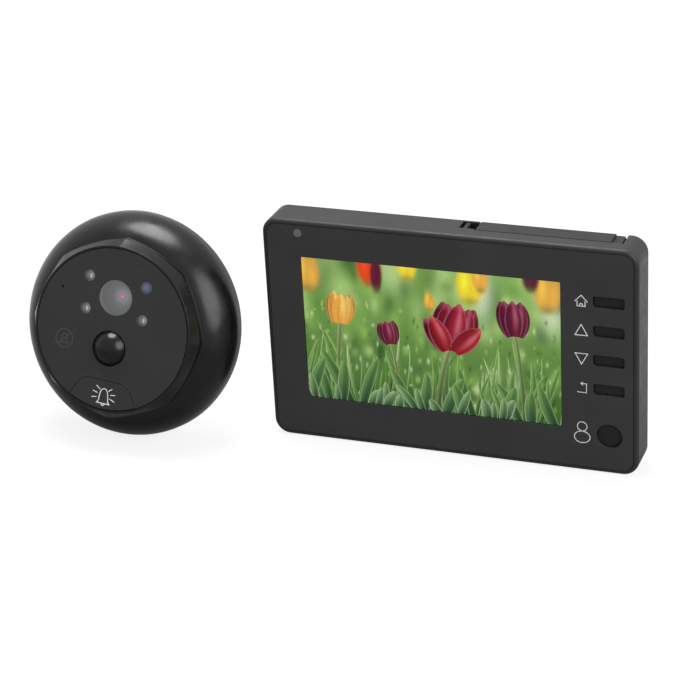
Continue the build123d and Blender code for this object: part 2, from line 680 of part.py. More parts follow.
def key_solid(cap, flange, x, z):
    """A key: a cap that shows in the panel, a flange behind the panel, and a stem that reaches its switch."""
    flange_front = PANEL_T + SLIDE_GAP
    flange_back = flange_front + KEY_FLANGE_T
    top = slab(cap, KEY_RECESS, flange_front + KEY_FLANGE_T / 2)
    top = fillet(top.faces().sort_by(Axis.Y)[0].edges(), KEY_EDGE)
    stem_end = SWITCH_FRONT - KEY_TRAVEL - SEAT_GAP / 2
    stem = rod(KEY_STEM_R, x, z, flange_back - SEAT_GAP, stem_end)
    return top + slab(flange, flange_front, flange_back) + stem


def make_rect_key(z):
    gap = 2 * SLIDE_GAP
    cap = rect(KEY_W - gap, KEY_H - gap, KEY_X, z, KEY_CORNER - SLIDE_GAP)
    flange = rect(KEY_W + 2 * KEY_FLANGE_W, KEY_H + 2 * KEY_FLANGE_W, KEY_X, z, KEY_CORNER)
    return key_solid(cap, flange, KEY_X, z)


def make_round_key():
    centre = Pos(ROUND_KEY_X, ROUND_KEY_Z)
    return key_solid(centre * Circle(ROUND_KEY_R - SLIDE_GAP), centre * Circle(ROUND_KEY_R + KEY_FLANGE_W),
                     ROUND_KEY_X, ROUND_KEY_Z)


def switch_places():
    return [(KEY_X, z) for z in rect_key_places().values()] + [(ROUND_KEY_X, ROUND_KEY_Z)]


def make_key_switches():
    switches = []
    for x, z in switch_places():
        base = slab(rect(SWITCH_W, SWITCH_W, x, z), BOARD_DEPTH - SWITCH_BASE_T, BOARD_DEPTH)
        switches.append(base + rod(SWITCH_PLUNGER_R, x, z, SWITCH_FRONT, BOARD_DEPTH - SWITCH_BASE_T / 2))
    return group(switches)


def make_key_board():
    low = ROUND_KEY_Z - KEY_BOARD_BOTTOM_MARGIN
    high = KEY_TOP_Z + KEY_BOARD_TOP_MARGIN
    return block(KEY_X - KEY_BOARD_W / 2, KEY_X + KEY_BOARD_W / 2, low, high, BOARD_DEPTH, BOARD_BACK)


def make_key_flex():
    back = BOARD_DEPTH
    return block(BOARD_RIGHT_X - KEY_FLEX_LAP, KEY_X - KEY_BOARD_W / 2 + KEY_FLEX_LAP / 2,
                 KEY_FLEX_Z - KEY_FLEX_W / 2, KEY_FLEX_Z + KEY_FLEX_W / 2, back - KEY_FLEX_T, back)


def make_main_board():
    left = -CAVITY_W / 2 + BOARD_LEFT_GAP
    board = block(left, BOARD_RIGHT_X, -BOARD_HALF_H, BOARD_HALF_H, BOARD_DEPTH, BOARD_BACK)
    board += block(BOARD_EAR_LEFT_X, BOARD_RIGHT_X, 0, BOARD_EAR_TOP_Z, BOARD_DEPTH, BOARD_BACK)
    for x, z in board_post_places():
        board -= rod(BOARD_SCREW_R + SCREW_HOLE_GAP, x, z, 0, BOARD_BACK + OVERRUN)
    return board


def chips(shares, across, up, front):
    """Chips on the back of a board, placed by shares of two lengths across and up it."""
    return group(slab(rect(width * CHIP_STEP, height * CHIP_STEP, x * across, z * up),
                      front, front + thickness * CHIP_STEP)
                 for x, z, width, height, thickness in shares.values())


def make_board_chips():
    """The chips on the main board, with two that stay clear of the flat cable's socket and of a post."""
    x = BRACKET_X - RIBBON_W / 2 - MEMORY_GAP - MEMORY_W / 2
    memory = slab(rect(MEMORY_W, MEMORY_H, x, MEMORY_Z_SHARE * HOUSING_H), BOARD_BACK, BOARD_BACK + MEMORY_T)
    x = BOARD_POST_LEFT_X + BOARD_POST_R + CRYSTAL_GAP + CRYSTAL_W / 2
    crystal = slab(rect(CRYSTAL_W, CRYSTAL_H, x, CRYSTAL_Z_SHARE * HOUSING_H), BOARD_BACK,
                   BOARD_BACK + CRYSTAL_T)
    return group([*chips(CHIP_SHARES, HOUSING_W, HOUSING_H, BOARD_BACK).solids(), memory, crystal])


def make_board_screws():
    screws = []
    for x, z in board_post_places():
        shank = rod(BOARD_SCREW_R, x, z, BOARD_DEPTH - SEAT_GAP, BOARD_DEPTH - SEAT_GAP + BOARD_SCREW_L)
        head = rod(BOARD_SCREW_HEAD_R, x, z, BOARD_DEPTH - SEAT_GAP - BOARD_SCREW_HEAD_T,
                   BOARD_DEPTH - SEAT_GAP)
        screws.append(shank + head)
    return group(screws)


def make_lcd_glass():
    return slab(rect(LCD_W, LCD_H, SCREEN_X, LCD_Z, LCD_CORNER), LCD_FRONT, LCD_FRONT + LCD_GLASS_T)


def make_backlight():
    return slab(rect(LCD_W, LCD_H, SCREEN_X, LCD_Z, LCD_CORNER), BACKLIGHT_FRONT, BACKLIGHT_BACK)


def make_lcd_flex():
    """The screen's flat cable: out of its lower edge, round, and back up on to the front of the board."""
    half = LCD_FLEX_T / 2
    start = LCD_Z - LCD_H / 2
    front = BACKLIGHT_BACK + SEAT_GAP + half
    back = BOARD_DEPTH - half
    bend = (back - front) / 2
    low = start - SEAT_GAP
    route = (Line((front, low + LCD_FLEX_TAIL), (front, low))
             + ThreePointArc((front, low), ((front + back) / 2, low - bend), (back, low))
             + Line((back, low), (back, low + LCD_FLEX_TAIL)))
    profile = trace(route, LCD_FLEX_T)
    side = Plane(origin=(LCD_FLEX_X - LCD_FLEX_W / 2, 0, 0), x_dir=(0, 1, 0), z_dir=(1, 0, 0))
    return extrude(side * profile, amount=LCD_FLEX_W)


def make_light_pipe():
    return rod(LIGHT_R, LIGHT_X, LIGHT_Z, SEAT_GAP, BOARD_DEPTH - LED_CHIP_T - SEAT_GAP)


def make_status_led():
    return slab(rect(LED_CHIP_W, LED_CHIP_W, LIGHT_X, LIGHT_Z), BOARD_DEPTH - LED_CHIP_T, BOARD_DEPTH)


def make_power_switch():
    top = CAVITY_H / 2 - SEAT_GAP
    right = BOARD_RIGHT_X
    left = right - POWER_BODY_W
    near = BOARD_BACK
    far = near + POWER_BODY_L
    body = block(left, right, top - POWER_BODY_H, top, near, far)
    middle = (near + far) / 2
    channel = block(KNOB_X - KNOB_FOOT_W - SLIDE_GAP, KNOB_X + KNOB_W + KNOB_FOOT_W + KNOB_TRAVEL + SLIDE_GAP,
                    top - POWER_CHANNEL_H, top + OVERRUN,
                    middle - POWER_CHANNEL_L / 2, middle + POWER_CHANNEL_L / 2)
    return body - channel


def make_power_knob():
    """The slider: a ridge across the slot, on a narrower foot that runs in the switch's channel."""
    body_top = CAVITY_H / 2 - SEAT_GAP
    middle = BOARD_BACK + POWER_BODY_L / 2
    near = middle - KNOB_L / 2
    far = middle + KNOB_L / 2
    low = body_top - POWER_CHANNEL_H + SLIDE_GAP
    foot = block(KNOB_X - KNOB_FOOT_W, KNOB_X + KNOB_W + KNOB_FOOT_W, low, body_top - SLIDE_GAP, near, far)
    foot += block(KNOB_X, KNOB_X + KNOB_W, low, TOP_Z - KNOB_DROP, near, far)
    ridge = block(KNOB_X, KNOB_X + KNOB_W, body_top + SLIDE_GAP, TOP_Z - KNOB_DROP,
                  SWITCH_SLOT_DEPTH + KNOB_END_GAP, SWITCH_SLOT_DEPTH + SWITCH_SLOT_L - KNOB_END_GAP)
    return foot + ridge


def make_speaker_frame():
    back = CAVITY_BACK - SEAT_GAP
    rim = rod(SPEAKER_R, SPEAKER_X, SPEAKER_Z, back - SPEAKER_FRAME_T, back)
    rim -= rod(SPEAKER_CONE_R + SEAT_GAP, SPEAKER_X, SPEAKER_Z, back - SPEAKER_FRAME_T / 2, back)
    return rim + rod(SPEAKER_MAGNET_R, SPEAKER_X, SPEAKER_Z, back - SPEAKER_T, back - SPEAKER_FRAME_T / 2)


def make_speaker_cone():
    front = CAVITY_BACK - SEAT_GAP - SPEAKER_FRAME_T / 2
    flat = rod(SPEAKER_CONE_R, SPEAKER_X, SPEAKER_Z, front, front + SPEAKER_CONE_T)
    return flat - rod(SPEAKER_CONE_R / 2, SPEAKER_X, SPEAKER_Z, front + SPEAKER_CONE_T / 2, front + OVERRUN)


def make_battery_pack():
    left = BAY_RIGHT_X - BAY_WALL - OPENING_GAP - BATTERY_W
    low = DOOR_BOTTOM_Z + OPENING_GAP
    near = BAY_FLOOR_DEPTH + BAY_FLOOR_T + SEAT_GAP
    pack = block(left, left + BATTERY_W, low, low + BATTERY_H, near, near + BATTERY_T)
    return fillet(pack.edges().filter_by(Axis.Z), BATTERY_CORNER)


def make_battery_contacts():
    """Bowed spring blades in the bay's left wall that press on the pack's end."""
    wall = BAY_LEFT_X + BAY_WALL
    near = BAY_FLOOR_DEPTH + BAY_FLOOR_T + SEAT_GAP
    middle = DOOR_BOTTOM_Z + BATTERY_H / 2
    blades = []
    for index in range(CONTACT_COUNT):
        z = middle + (index - (CONTACT_COUNT - 1) / 2) * CONTACT_PITCH
        low, high = z - CONTACT_W / 2, z + CONTACT_W / 2
        foot = block(wall, wall + CONTACT_T, low, high, near, near + CONTACT_RISE)
        nose = block(wall, wall + CONTACT_BOW, low, high, near + CONTACT_RISE / 3,
                     near + CONTACT_RISE * 2 / 3)
        blades.append(foot + nose)
    return group(blades)


def make_battery_door():
    """Back plate, top strip and hinge barrel of the battery door in one moulding."""
    left = DOOR_LEFT_X + DOOR_SWING_GAP
    low = DOOR_BOTTOM_Z + OPENING_GAP
    tab_top = TOP_Z - DOOR_TAB_DROP
    barrel_top = tab_top - DOOR_T
    plate = block(left, HINGE_X, low, TOP_Z, DOOR_FRONT_FACE, HOUSING_T)
    strip = block(left, HINGE_X, TOP_Z - DOOR_T, TOP_Z, DOOR_FRONT_DEPTH + DOOR_GROOVE, HOUSING_T)
    door = plate + strip
    door = fillet(door.edges().filter_by(Axis.X).group_by(Axis.Z)[-1].sort_by(Axis.Y)[-1], REAR_FILLET)
    step = block(DOOR_STRIP_RIGHT_X, DOOR_RIGHT_X, tab_top, TOP_Z + OVERRUN, 0, HOUSING_T + OVERRUN)
    strip_end = block(DOOR_STRIP_RIGHT_X, DOOR_RIGHT_X, tab_top - DOOR_T, TOP_Z + OVERRUN,
                      0, DOOR_FRONT_FACE - OPENING_GAP)
    door = door - step - strip_end
    reach = DOOR_TAB_RIGHT_X - DOOR_STRIP_RIGHT_X
    tab_near = DOOR_FRONT_DEPTH + DOOR_GROOVE + DOOR_TAB_INSET
    tab = block(DOOR_STRIP_RIGHT_X - reach / 2, DOOR_TAB_RIGHT_X, barrel_top, tab_top, tab_near, HINGE_DEPTH)
    tab = fillet(tab.edges().filter_by(Axis.Z).group_by(Axis.X)[-1].sort_by(Axis.Y)[0], reach / 2)
    tab += upright(HINGE_R, HINGE_X, HINGE_DEPTH, low, barrel_top + DOOR_T)
    door += tab
    door -= block(HINGE_X - HINGE_R - HINGE_LUG_GAP, DOOR_RIGHT_X, HINGE_LUG_Z - HINGE_LUG_GAP,
                  HINGE_LUG_Z + HINGE_LUG_H + HINGE_LUG_GAP, DOOR_FRONT_DEPTH, HOUSING_T + OVERRUN)
    bore_top = HINGE_LUG_Z + HINGE_LUG_H + 2 * HINGE_LUG_GAP
    return door - upright(HINGE_PIN_R + HINGE_RUN_FIT, HINGE_X, HINGE_DEPTH, low - OVERRUN, bore_top)


def make_hinge_pin():
    low = DOOR_BOTTOM_Z - HINGE_LUG_H + HINGE_LUG_GAP
    return upright(HINGE_PIN_R, HINGE_X, HINGE_DEPTH, low, HINGE_LUG_Z + HINGE_LUG_H)


def make_usb_socket():
    left = -HOUSING_W / 2 + HOUSING_WALL / 2
    right = left + USB_L
    near = BOARD_BACK
    body = block(left, right, USB_Z - USB_W / 2, USB_Z + USB_W / 2, near, near + USB_H)
    body -= block(left - OVERRUN, right - 2 * USB_SHELL, USB_Z - USB_W / 2 + USB_SHELL,
                  USB_Z + USB_W / 2 - USB_SHELL, near + USB_SHELL, near + USB_H - USB_SHELL)
    tongue = near + USB_H / 2
    return body + block(left + 2 * USB_SHELL, right - USB_SHELL, USB_Z - USB_W / 4, USB_Z + USB_W / 4,
                        tongue - USB_SHELL / 2, tongue + USB_SHELL / 2)


def make_card_socket():
    left = -CAVITY_W / 2 + BOARD_LEFT_GAP
    near = BOARD_BACK
    width = CARD_W - 2 * OPENING_GAP
    body = block(left, left + CARD_L, CARD_Z - width / 2, CARD_Z + width / 2, near, near + CARD_H)
    return body - block(left - OVERRUN, left + CARD_L - CARD_SHELL, CARD_Z - width / 2 + 2 * CARD_SHELL,
                        CARD_Z + width / 2 - 2 * CARD_SHELL, near + CARD_SHELL, near + CARD_H - CARD_SHELL)


def make_ribbon_socket():
    body = slab(rect(RIBBON_W, RIBBON_H, BRACKET_X, 0), BOARD_BACK, BOARD_BACK + RIBBON_L)
    mouth = BOARD_BACK + RIBBON_L
    return body - slab(rect(RIBBON_MOUTH_W, RIBBON_MOUTH_H, BRACKET_X, 0), mouth - RIBBON_MOUTH_L,
                       mouth + OVERRUN)


def make_housing_screws():
    seat = SCREW_SEAT_DEPTH + SEAT_GAP
    return group(screw(SCREW_R, SCREW_HEAD_R, SCREW_HEAD_T, x, z, seat, SCREW_END_DEPTH)
                 for x, z in panel_screw_places())


# Bracket on the door, drawn from the door's face at depth zero

def make_bracket():
    plate = slab(rect(BRACKET_W, BRACKET_H, corner=BRACKET_CORNER), -BRACKET_T, 0)
    wall_inner = BRACKET_T + BRACKET_GAP + HOUSING_BACK + HOOK_WALL_GAP
    for x, z in hook_places():
        left, right = x - HOOK_W / 2, x + HOOK_W / 2
        low, high = z - HOOK_T / 2, z + HOOK_T / 2
        plate += block(left, right, low, high, -wall_inner - HOOK_T, -BRACKET_T / 2)
        plate += block(left, right, low, high + HOOK_LIP, -wall_inner - HOOK_T, -wall_inner)
    plate -= slab(rect(CABLE_WINDOW_W, CABLE_WINDOW_H, corner=0.45 * CABLE_WINDOW_H), -OVERRUN, OVERRUN)
    for level in (-1, 1):
        plate -= rod(THROUGH_HOLE_R, 0, level * THROUGH_SCREW_SPAN / 2, -OVERRUN, OVERRUN)
        for side in (-1, 1):
            plate -= rod(CORNER_HOLE_R, side * CORNER_SPAN_X / 2, level * CORNER_SPAN_Z / 2,
                         -OVERRUN, OVERRUN)
    return plate


# Outdoor unit

def body_curve():
    return Bezier((BODY_FRONT_R, BODY_FRONT_DEPTH), (BODY_SHOULDER_R, BODY_SHOULDER_DEPTH),
                  (BODY_R, BODY_CURVE_DEPTH), (BODY_R, BODY_MID_DEPTH))


def cavity_curve():
    wall = SHELL_WALL
    return Bezier((BORE_R, BODY_FRONT_DEPTH + wall), (BODY_SHOULDER_R - wall, BODY_SHOULDER_DEPTH + wall),
                  (BODY_R - wall, BODY_CURVE_DEPTH + wall / 2), (BODY_R - wall, BODY_MID_DEPTH))


def back_screw_places():
    angles = [pi / 4 + 2 * pi * index / BACK_SCREW_COUNT for index in range(BACK_SCREW_COUNT)]
    return [(BACK_SCREW_RING_R * cos(angle), BACK_SCREW_RING_R * sin(angle)) for angle in angles]


def collar_outline(radius, bulge):
    """Equal arcs between the collar's corners, each rising above its chord by the bulge."""
    step = 2 * pi / COLLAR_SIDES
    middle = radius * cos(step / 2) + bulge
    arcs = []
    for i in range(COLLAR_SIDES):
        turn = radians(COLLAR_TURN) + i * step
        arcs.append(ThreePointArc((radius * cos(turn), radius * sin(turn)),
                                  (middle * cos(turn + step / 2), middle * sin(turn + step / 2)),
                                  (radius * cos(turn + step), radius * sin(turn + step))))
    return make_face(Curve() + arcs)


def make_outdoor_shell():
    """A round hollow body whose front grows into an eight-sided collar round the face."""
    body = turned(Line((0, BODY_FRONT_DEPTH), (BODY_FRONT_R, BODY_FRONT_DEPTH)), body_curve(),
                  Line((BODY_R, BODY_MID_DEPTH), (BODY_R, SEAM_DEPTH)),
                  Line((BODY_R, SEAM_DEPTH), (0, SEAM_DEPTH)), Line((0, SEAM_DEPTH), (0, BODY_FRONT_DEPTH)))
    rim = collar_outline(COLLAR_FRONT_R, COLLAR_FRONT_R * (1 - cos(pi / COLLAR_SIDES)))
    sides = collar_outline(COLLAR_R, COLLAR_BULGE)
    slope = loft([faced(rim, COLLAR_FRONT), faced(sides, COLLAR_EDGE_DEPTH)], ruled=True)
    shell = body + slope + slab(sides, COLLAR_EDGE_DEPTH, BODY_MID_DEPTH)
    ledge = FACE_T + SEAT_GAP
    shell -= rod(RECESS_R, 0, 0, -OVERRUN, ledge)
    inner = BODY_R - SHELL_WALL
    front = BODY_FRONT_DEPTH + SHELL_WALL
    shell -= turned(Polyline((0, 0), (BORE_R, 0), (BORE_R, front)), cavity_curve(),
                    Polyline((inner, BODY_MID_DEPTH), (inner, SEAM_DEPTH), (0, SEAM_DEPTH), (0, 0)))
    for x, z in back_screw_places():
        shell += rod(BACK_POST_R, x, z, BACK_POST_FRONT, SEAM_DEPTH)
        shell -= rod(BACK_SCREW_R + SCREW_HOLE_GAP, x, z, BACK_SCREW_END - SEAT_GAP, SEAM_DEPTH + OVERRUN)
    return shell


def make_outdoor_back():
    """Back cover with a spigot that fits inside the shell."""
    front = SEAM_DEPTH + SEAM_GAP
    rim = BODY_R - SEAM_INSET
    cover = turned(Line((0, front), (rim, front)),
                   Bezier((rim, front), (rim, BACK_CURVE_DEPTH), (BACK_CURVE_R, BACK_DEPTH),
                          (BACK_FLAT_R, BACK_DEPTH)),
                   Line((BACK_FLAT_R, BACK_DEPTH), (0, BACK_DEPTH)), Line((0, BACK_DEPTH), (0, front)))
    spigot_r = BODY_R - SHELL_WALL - SLIDE_GAP
    cover += rod(spigot_r, 0, 0, SEAM_DEPTH - SPIGOT_L, front)
    cover -= rod(spigot_r - SPIGOT_W, 0, 0, 0, BACK_INNER)
    for x, z in back_screw_places():
        cover += rod(BACK_POST_R, x, z, SEAM_DEPTH + SEAT_GAP, BACK_INNER)
        cover -= rod(BACK_SCREW_R + SCREW_HOLE_GAP, x, z, 0, BACK_DEPTH + OVERRUN)
        cover -= rod(BACK_SCREW_HEAD_R + SCREW_HEAD_GAP, x, z, BACK_DEPTH - BACK_SCREW_HEAD_T - SEAT_GAP,
                     BACK_DEPTH + OVERRUN)
    return cover - rod(BARREL_SHOULDER_R + SEAT_GAP, 0, 0, 0, BACK_DEPTH + OVERRUN)


def make_back_screws():
    seat = BACK_DEPTH - BACK_SCREW_HEAD_T - SEAT_GAP / 2
    return group(screw(BACK_SCREW_R, BACK_SCREW_HEAD_R, BACK_SCREW_HEAD_T, x, z, seat, BACK_SCREW_END)
                 for x, z in back_screw_places())


def outdoor_post_places():
    return [(x * FACE_R, z * FACE_R) for x, z in OUT_POST_SHARES.values()]


def button_outline():
    """The bell button seen from the front: a rounded trapezium, cut off below by the edge of the face."""
    top_half = BUTTON_TOP_HALF_SHARE * FACE_R
    top = -BUTTON_TOP_SHARE * FACE_R
    foot_half = BUTTON_FOOT_HALF_SHARE * FACE_R
    foot = -BUTTON_FOOT_SHARE * FACE_R
    low = -FACE_R - OVERRUN
    outline = make_face(Polyline((-top_half, top), (top_half, top), (foot_half, foot), (foot_half, low),
                                 (-foot_half, low), (-foot_half, foot), close=True))
    return fillet(outline.vertices().group_by(Axis.Y)[-1], BUTTON_CORNER_SHARE * FACE_R)


def eye_places():
    """The three small lights round the lens. The fourth corner is the light sensor's."""
    return [(-EYE_X, LENS_Z + EYE_Z), (-EYE_X, LENS_Z - EYE_Z), (EYE_X, LENS_Z - EYE_Z)]


def make_outdoor_face():
    plate = rod(FACE_R, 0, 0, 0, FACE_T)
    for x, z in outdoor_post_places():
        plate += rod(OUT_POST_R, x, z, FACE_T / 2, OUT_BOARD_DEPTH - SEAT_GAP)
        plate -= rod(OUT_SCREW_R + SCREW_HOLE_GAP, x, z, OUT_BOARD_BACK - OUT_SCREW_L - SEAT_GAP,
                     OUT_BOARD_DEPTH)
    plate -= rod(LENS_WINDOW_R + SEAT_GAP, 0, LENS_Z, -OVERRUN, LENS_WINDOW_T + 2 * SEAT_GAP)
    plate -= rod(LENS_HOLE_R, 0, LENS_Z, 0, FACE_T + OVERRUN)
    eyes = [(x, z, EYE_R) for x, z in eye_places()] + [(EYE_X, LENS_Z + EYE_Z, SENSOR_WINDOW_R)]
    for x, z, radius in eyes:
        plate -= rod(radius + SEAT_GAP, x, z, -OVERRUN, EYE_WINDOW_T + 2 * SEAT_GAP)
        plate -= rod(EYE_HOLE_R, x, z, 0, FACE_T + OVERRUN)
    plate -= rod(PIR_R + PIR_RING_GAP, 0, PIR_Z, -OVERRUN, FACE_T + OVERRUN)
    plate -= rod(MIC_HOLE_R, MIC_X, MIC_Z, -OVERRUN, FACE_T + OVERRUN)
    return plate - slab(offset(button_outline(), SLIDE_GAP), -OVERRUN, FACE_T + OVERRUN)


def make_camera_window():
    return rod(LENS_WINDOW_R, 0, LENS_Z, SEAT_GAP, SEAT_GAP + LENS_WINDOW_T)


def make_eye_windows():
    return group(rod(EYE_R, x, z, SEAT_GAP, SEAT_GAP + EYE_WINDOW_T) for x, z in eye_places())


def make_sensor_window():
    return rod(SENSOR_WINDOW_R, EYE_X, LENS_Z + EYE_Z, SEAT_GAP, SEAT_GAP + EYE_WINDOW_T)


def make_lens_tube():
    holder_front = OUT_BOARD_DEPTH - LENS_HOLDER_T
    tube = rod(LENS_TUBE_R, 0, LENS_Z, LENS_TUBE_FRONT, holder_front)
    tube -= rod(LENS_TUBE_R - LENS_TUBE_WALL, 0, LENS_Z, 0, LENS_GLASS_DEPTH + LENS_GLASS_T + SEAT_GAP)
    return tube - rod(LENS_TUBE_STEP, 0, LENS_Z, 0, holder_front + OVERRUN)


def make_lens_glass():
    """Front lens: a flat-backed glass with a domed front."""
    dome_r = (LENS_GLASS_R ** 2 + LENS_GLASS_BULGE ** 2) / (2 * LENS_GLASS_BULGE)
    ball = Pos(0, LENS_GLASS_DEPTH - LENS_GLASS_BULGE + dome_r, LENS_Z) * Sphere(dome_r)
    back = LENS_GLASS_DEPTH + LENS_GLASS_T
    return ball & rod(LENS_GLASS_R, 0, LENS_Z, 0, back)


def make_lens_holder():
    near = OUT_BOARD_DEPTH - LENS_HOLDER_T
    body = slab(rect(LENS_HOLDER_W, LENS_HOLDER_W, 0, LENS_Z, LENS_HOLDER_CORNER), near, OUT_BOARD_DEPTH)
    return body - rod(LENS_TUBE_STEP, 0, LENS_Z, 0, OUT_BOARD_DEPTH - LENS_TUBE_WALL)


def domed_light(x, z, legs_to):
    """A clear light emitter: domed body, rim and two legs down to the board."""
    body = rod(LED_R, x, z, LED_FRONT + LED_R, LED_FRONT + LED_BODY_L)
    body += Pos(x, LED_FRONT + LED_R, z) * Sphere(LED_R)
    body += rod(LED_RIM_R, x, z, LED_FRONT + LED_BODY_L - LED_RIM_T, LED_FRONT + LED_BODY_L)
    for side in (-1, 1):
        body += rod(LEG_R, x + side * LEG_OFFSET, z, LED_FRONT + LED_BODY_L - LED_RIM_T / 2, legs_to)
    return body


def make_ir_leds():
    return group(domed_light(x, z, OUT_BOARD_DEPTH) for x, z in eye_places())


def make_light_sensor():
    return domed_light(EYE_X, LENS_Z + EYE_Z, OUT_BOARD_DEPTH)


def make_pir_dome():
    """A thin domed cover over the motion sensor, held by a flange behind the face."""
    ball_r = (PIR_R ** 2 + PIR_HEIGHT ** 2) / (2 * PIR_HEIGHT)
    centre = Pos(0, ball_r - PIR_HEIGHT, PIR_Z)
    skirt_back = FACE_T + SEAT_GAP + PIR_FLANGE_T
    solid = centre * Sphere(ball_r) & rod(PIR_R, 0, PIR_Z, -2 * PIR_HEIGHT, 0)
    solid += rod(PIR_R, 0, PIR_Z, 0, skirt_back)
    solid += rod(PIR_R + PIR_FLANGE_W, 0, PIR_Z, FACE_T + SEAT_GAP, skirt_back)
    inner_r = PIR_R - PIR_WALL
    hollow = centre * Sphere(ball_r - PIR_WALL) & rod(inner_r, 0, PIR_Z, -2 * PIR_HEIGHT, SEAT_GAP)
    return solid - hollow - rod(inner_r, 0, PIR_Z, 0, skirt_back + OVERRUN)


def make_pir_sensor():
    back = PIR_CAN_FRONT + PIR_CAN_T
    can = rod(PIR_CAN_R, 0, PIR_Z, PIR_CAN_FRONT, back) + rod(PIR_BASE_R, 0, PIR_Z, back - PIR_BASE_T, back)
    for angle in (pi / 2, pi * 7 / 6, pi * 11 / 6):
        can += rod(LEG_R, PIR_LEG_OFFSET * cos(angle), PIR_Z + PIR_LEG_OFFSET * sin(angle),
                   back - PIR_BASE_T / 2, OUT_BOARD_DEPTH)
    return can


def make_microphone():
    return rod(MIC_R, MIC_X, MIC_Z, FACE_T + SEAT_GAP, FACE_T + SEAT_GAP + MIC_T)


def make_bell_button():
    shape = button_outline()
    inside = Circle(BORE_R - SLIDE_GAP)
    face_back = BUTTON_FACE_T
    neck_back = FACE_T + BUTTON_TRAVEL / 2
    flange_back = neck_back + BUTTON_FLANGE_T
    face = slab(shape & Circle(FACE_R - SLIDE_GAP), 0, face_back)
    neck = slab(shape & inside, face_back, neck_back)
    flange = slab(offset(shape, BUTTON_FLANGE_W) & inside, neck_back, flange_back)
    switch_front = OUT_BOARD_DEPTH - SWITCH_BASE_T - SWITCH_PLUNGER_T
    stem_end = switch_front - BUTTON_TRAVEL - SEAT_GAP / 2
    return face + neck + flange + rod(BUTTON_STEM_R, 0, BUTTON_STEM_Z, flange_back, stem_end)


def make_bell_switch():
    front = OUT_BOARD_DEPTH - SWITCH_BASE_T
    base = slab(rect(SWITCH_W, SWITCH_W, 0, BUTTON_STEM_Z), front, OUT_BOARD_DEPTH)
    return base + rod(SWITCH_PLUNGER_R, 0, BUTTON_STEM_Z, front - SWITCH_PLUNGER_T, front + SWITCH_BASE_T / 2)


def make_outdoor_board():
    board = rod(OUT_BOARD_R, 0, 0, OUT_BOARD_DEPTH, OUT_BOARD_BACK)
    for x, z in outdoor_post_places():
        board -= rod(OUT_SCREW_R + SCREW_HOLE_GAP, x, z, 0, OUT_BOARD_BACK + OVERRUN)
    return board


def make_outdoor_board_screws():
    return group(screw(OUT_SCREW_R, OUT_SCREW_HEAD_R, OUT_SCREW_HEAD_T, x, z, OUT_BOARD_BACK + SEAT_GAP / 2,
                       OUT_BOARD_BACK - OUT_SCREW_L) for x, z in outdoor_post_places())


def make_outdoor_socket():
    body = slab(rect(OUT_SOCKET_W, OUT_SOCKET_H), OUT_BOARD_BACK, OUT_BOARD_BACK + OUT_SOCKET_T)
    back = OUT_BOARD_BACK + OUT_SOCKET_T
    mouth = rect(OUT_MOUTH_W, OUT_MOUTH_H)
    return body - slab(mouth, back - OUT_SOCKET_T / 2, back + OVERRUN)


def make_door_barrel():
    """Stub that goes through the door: a slot for the flat cable between two tapped screw holes."""
    flange_back = BACK_INNER - SEAT_GAP
    end = BACK_DEPTH + SEAL_T + BARREL_L
    stub = rod(BARREL_R, 0, 0, flange_back - BARREL_FLANGE_T, end)
    stub = chamfer(stub.faces().sort_by(Axis.Y)[-1].edges(), BARREL_CHAMFER)
    stub += rod(BARREL_FLANGE_R, 0, 0, flange_back - BARREL_FLANGE_T, flange_back)
    stub += rod(BARREL_SHOULDER_R, 0, 0, flange_back - BARREL_FLANGE_T, BACK_DEPTH)
    stub -= slab(rect(BARREL_SLOT_W, BARREL_SLOT_H, corner=0.45 * BARREL_SLOT_H), 0, end + OVERRUN)
    for level in (-1, 1):
        stub -= rod(BARREL_SCREW_R, 0, level * THROUGH_SCREW_SPAN / 2, 0, end + OVERRUN)
    return stub


def make_seal():
    ring = rod(SEAL_OUTER_R, 0, 0, BACK_DEPTH, BACK_DEPTH + SEAL_T)
    return ring - rod(SEAL_INNER_R, 0, 0, 0, BACK_DEPTH + SEAL_T + OVERRUN)


def indoor_pieces():
    pieces = {
        "housing": make_housing(),
        "front_panel": make_front_panel(),
        "lcd_glass": make_lcd_glass(),
        "lcd_backlight": make_backlight(),
        "lcd_flex": make_lcd_flex(),
        "key_view": make_round_key(),
        "key_switches": make_key_switches(),
        "key_board": make_key_board(),
        "key_flex": make_key_flex(),
        "main_board": make_main_board(),
        "board_chips": make_board_chips(),
        "board_screws": make_board_screws(),
        "light_pipe": make_light_pipe(),
        "status_led": make_status_led(),
        "power_switch": make_power_switch(),
        "power_knob": make_power_knob(),
        "speaker_frame": make_speaker_frame(),
        "speaker_cone": make_speaker_cone(),
        "battery_pack": make_battery_pack(),
        "battery_contacts": make_battery_contacts(),
        "battery_door": make_battery_door(),
        "battery_door_pin": make_hinge_pin(),
        "usb_socket": make_usb_socket(),
        "card_socket": make_card_socket(),
        "ribbon_socket": make_ribbon_socket(),
        "housing_screws": make_housing_screws(),
    }
    for name, z in rect_key_places().items():
        pieces[name] = make_rect_key(z)
    return pieces


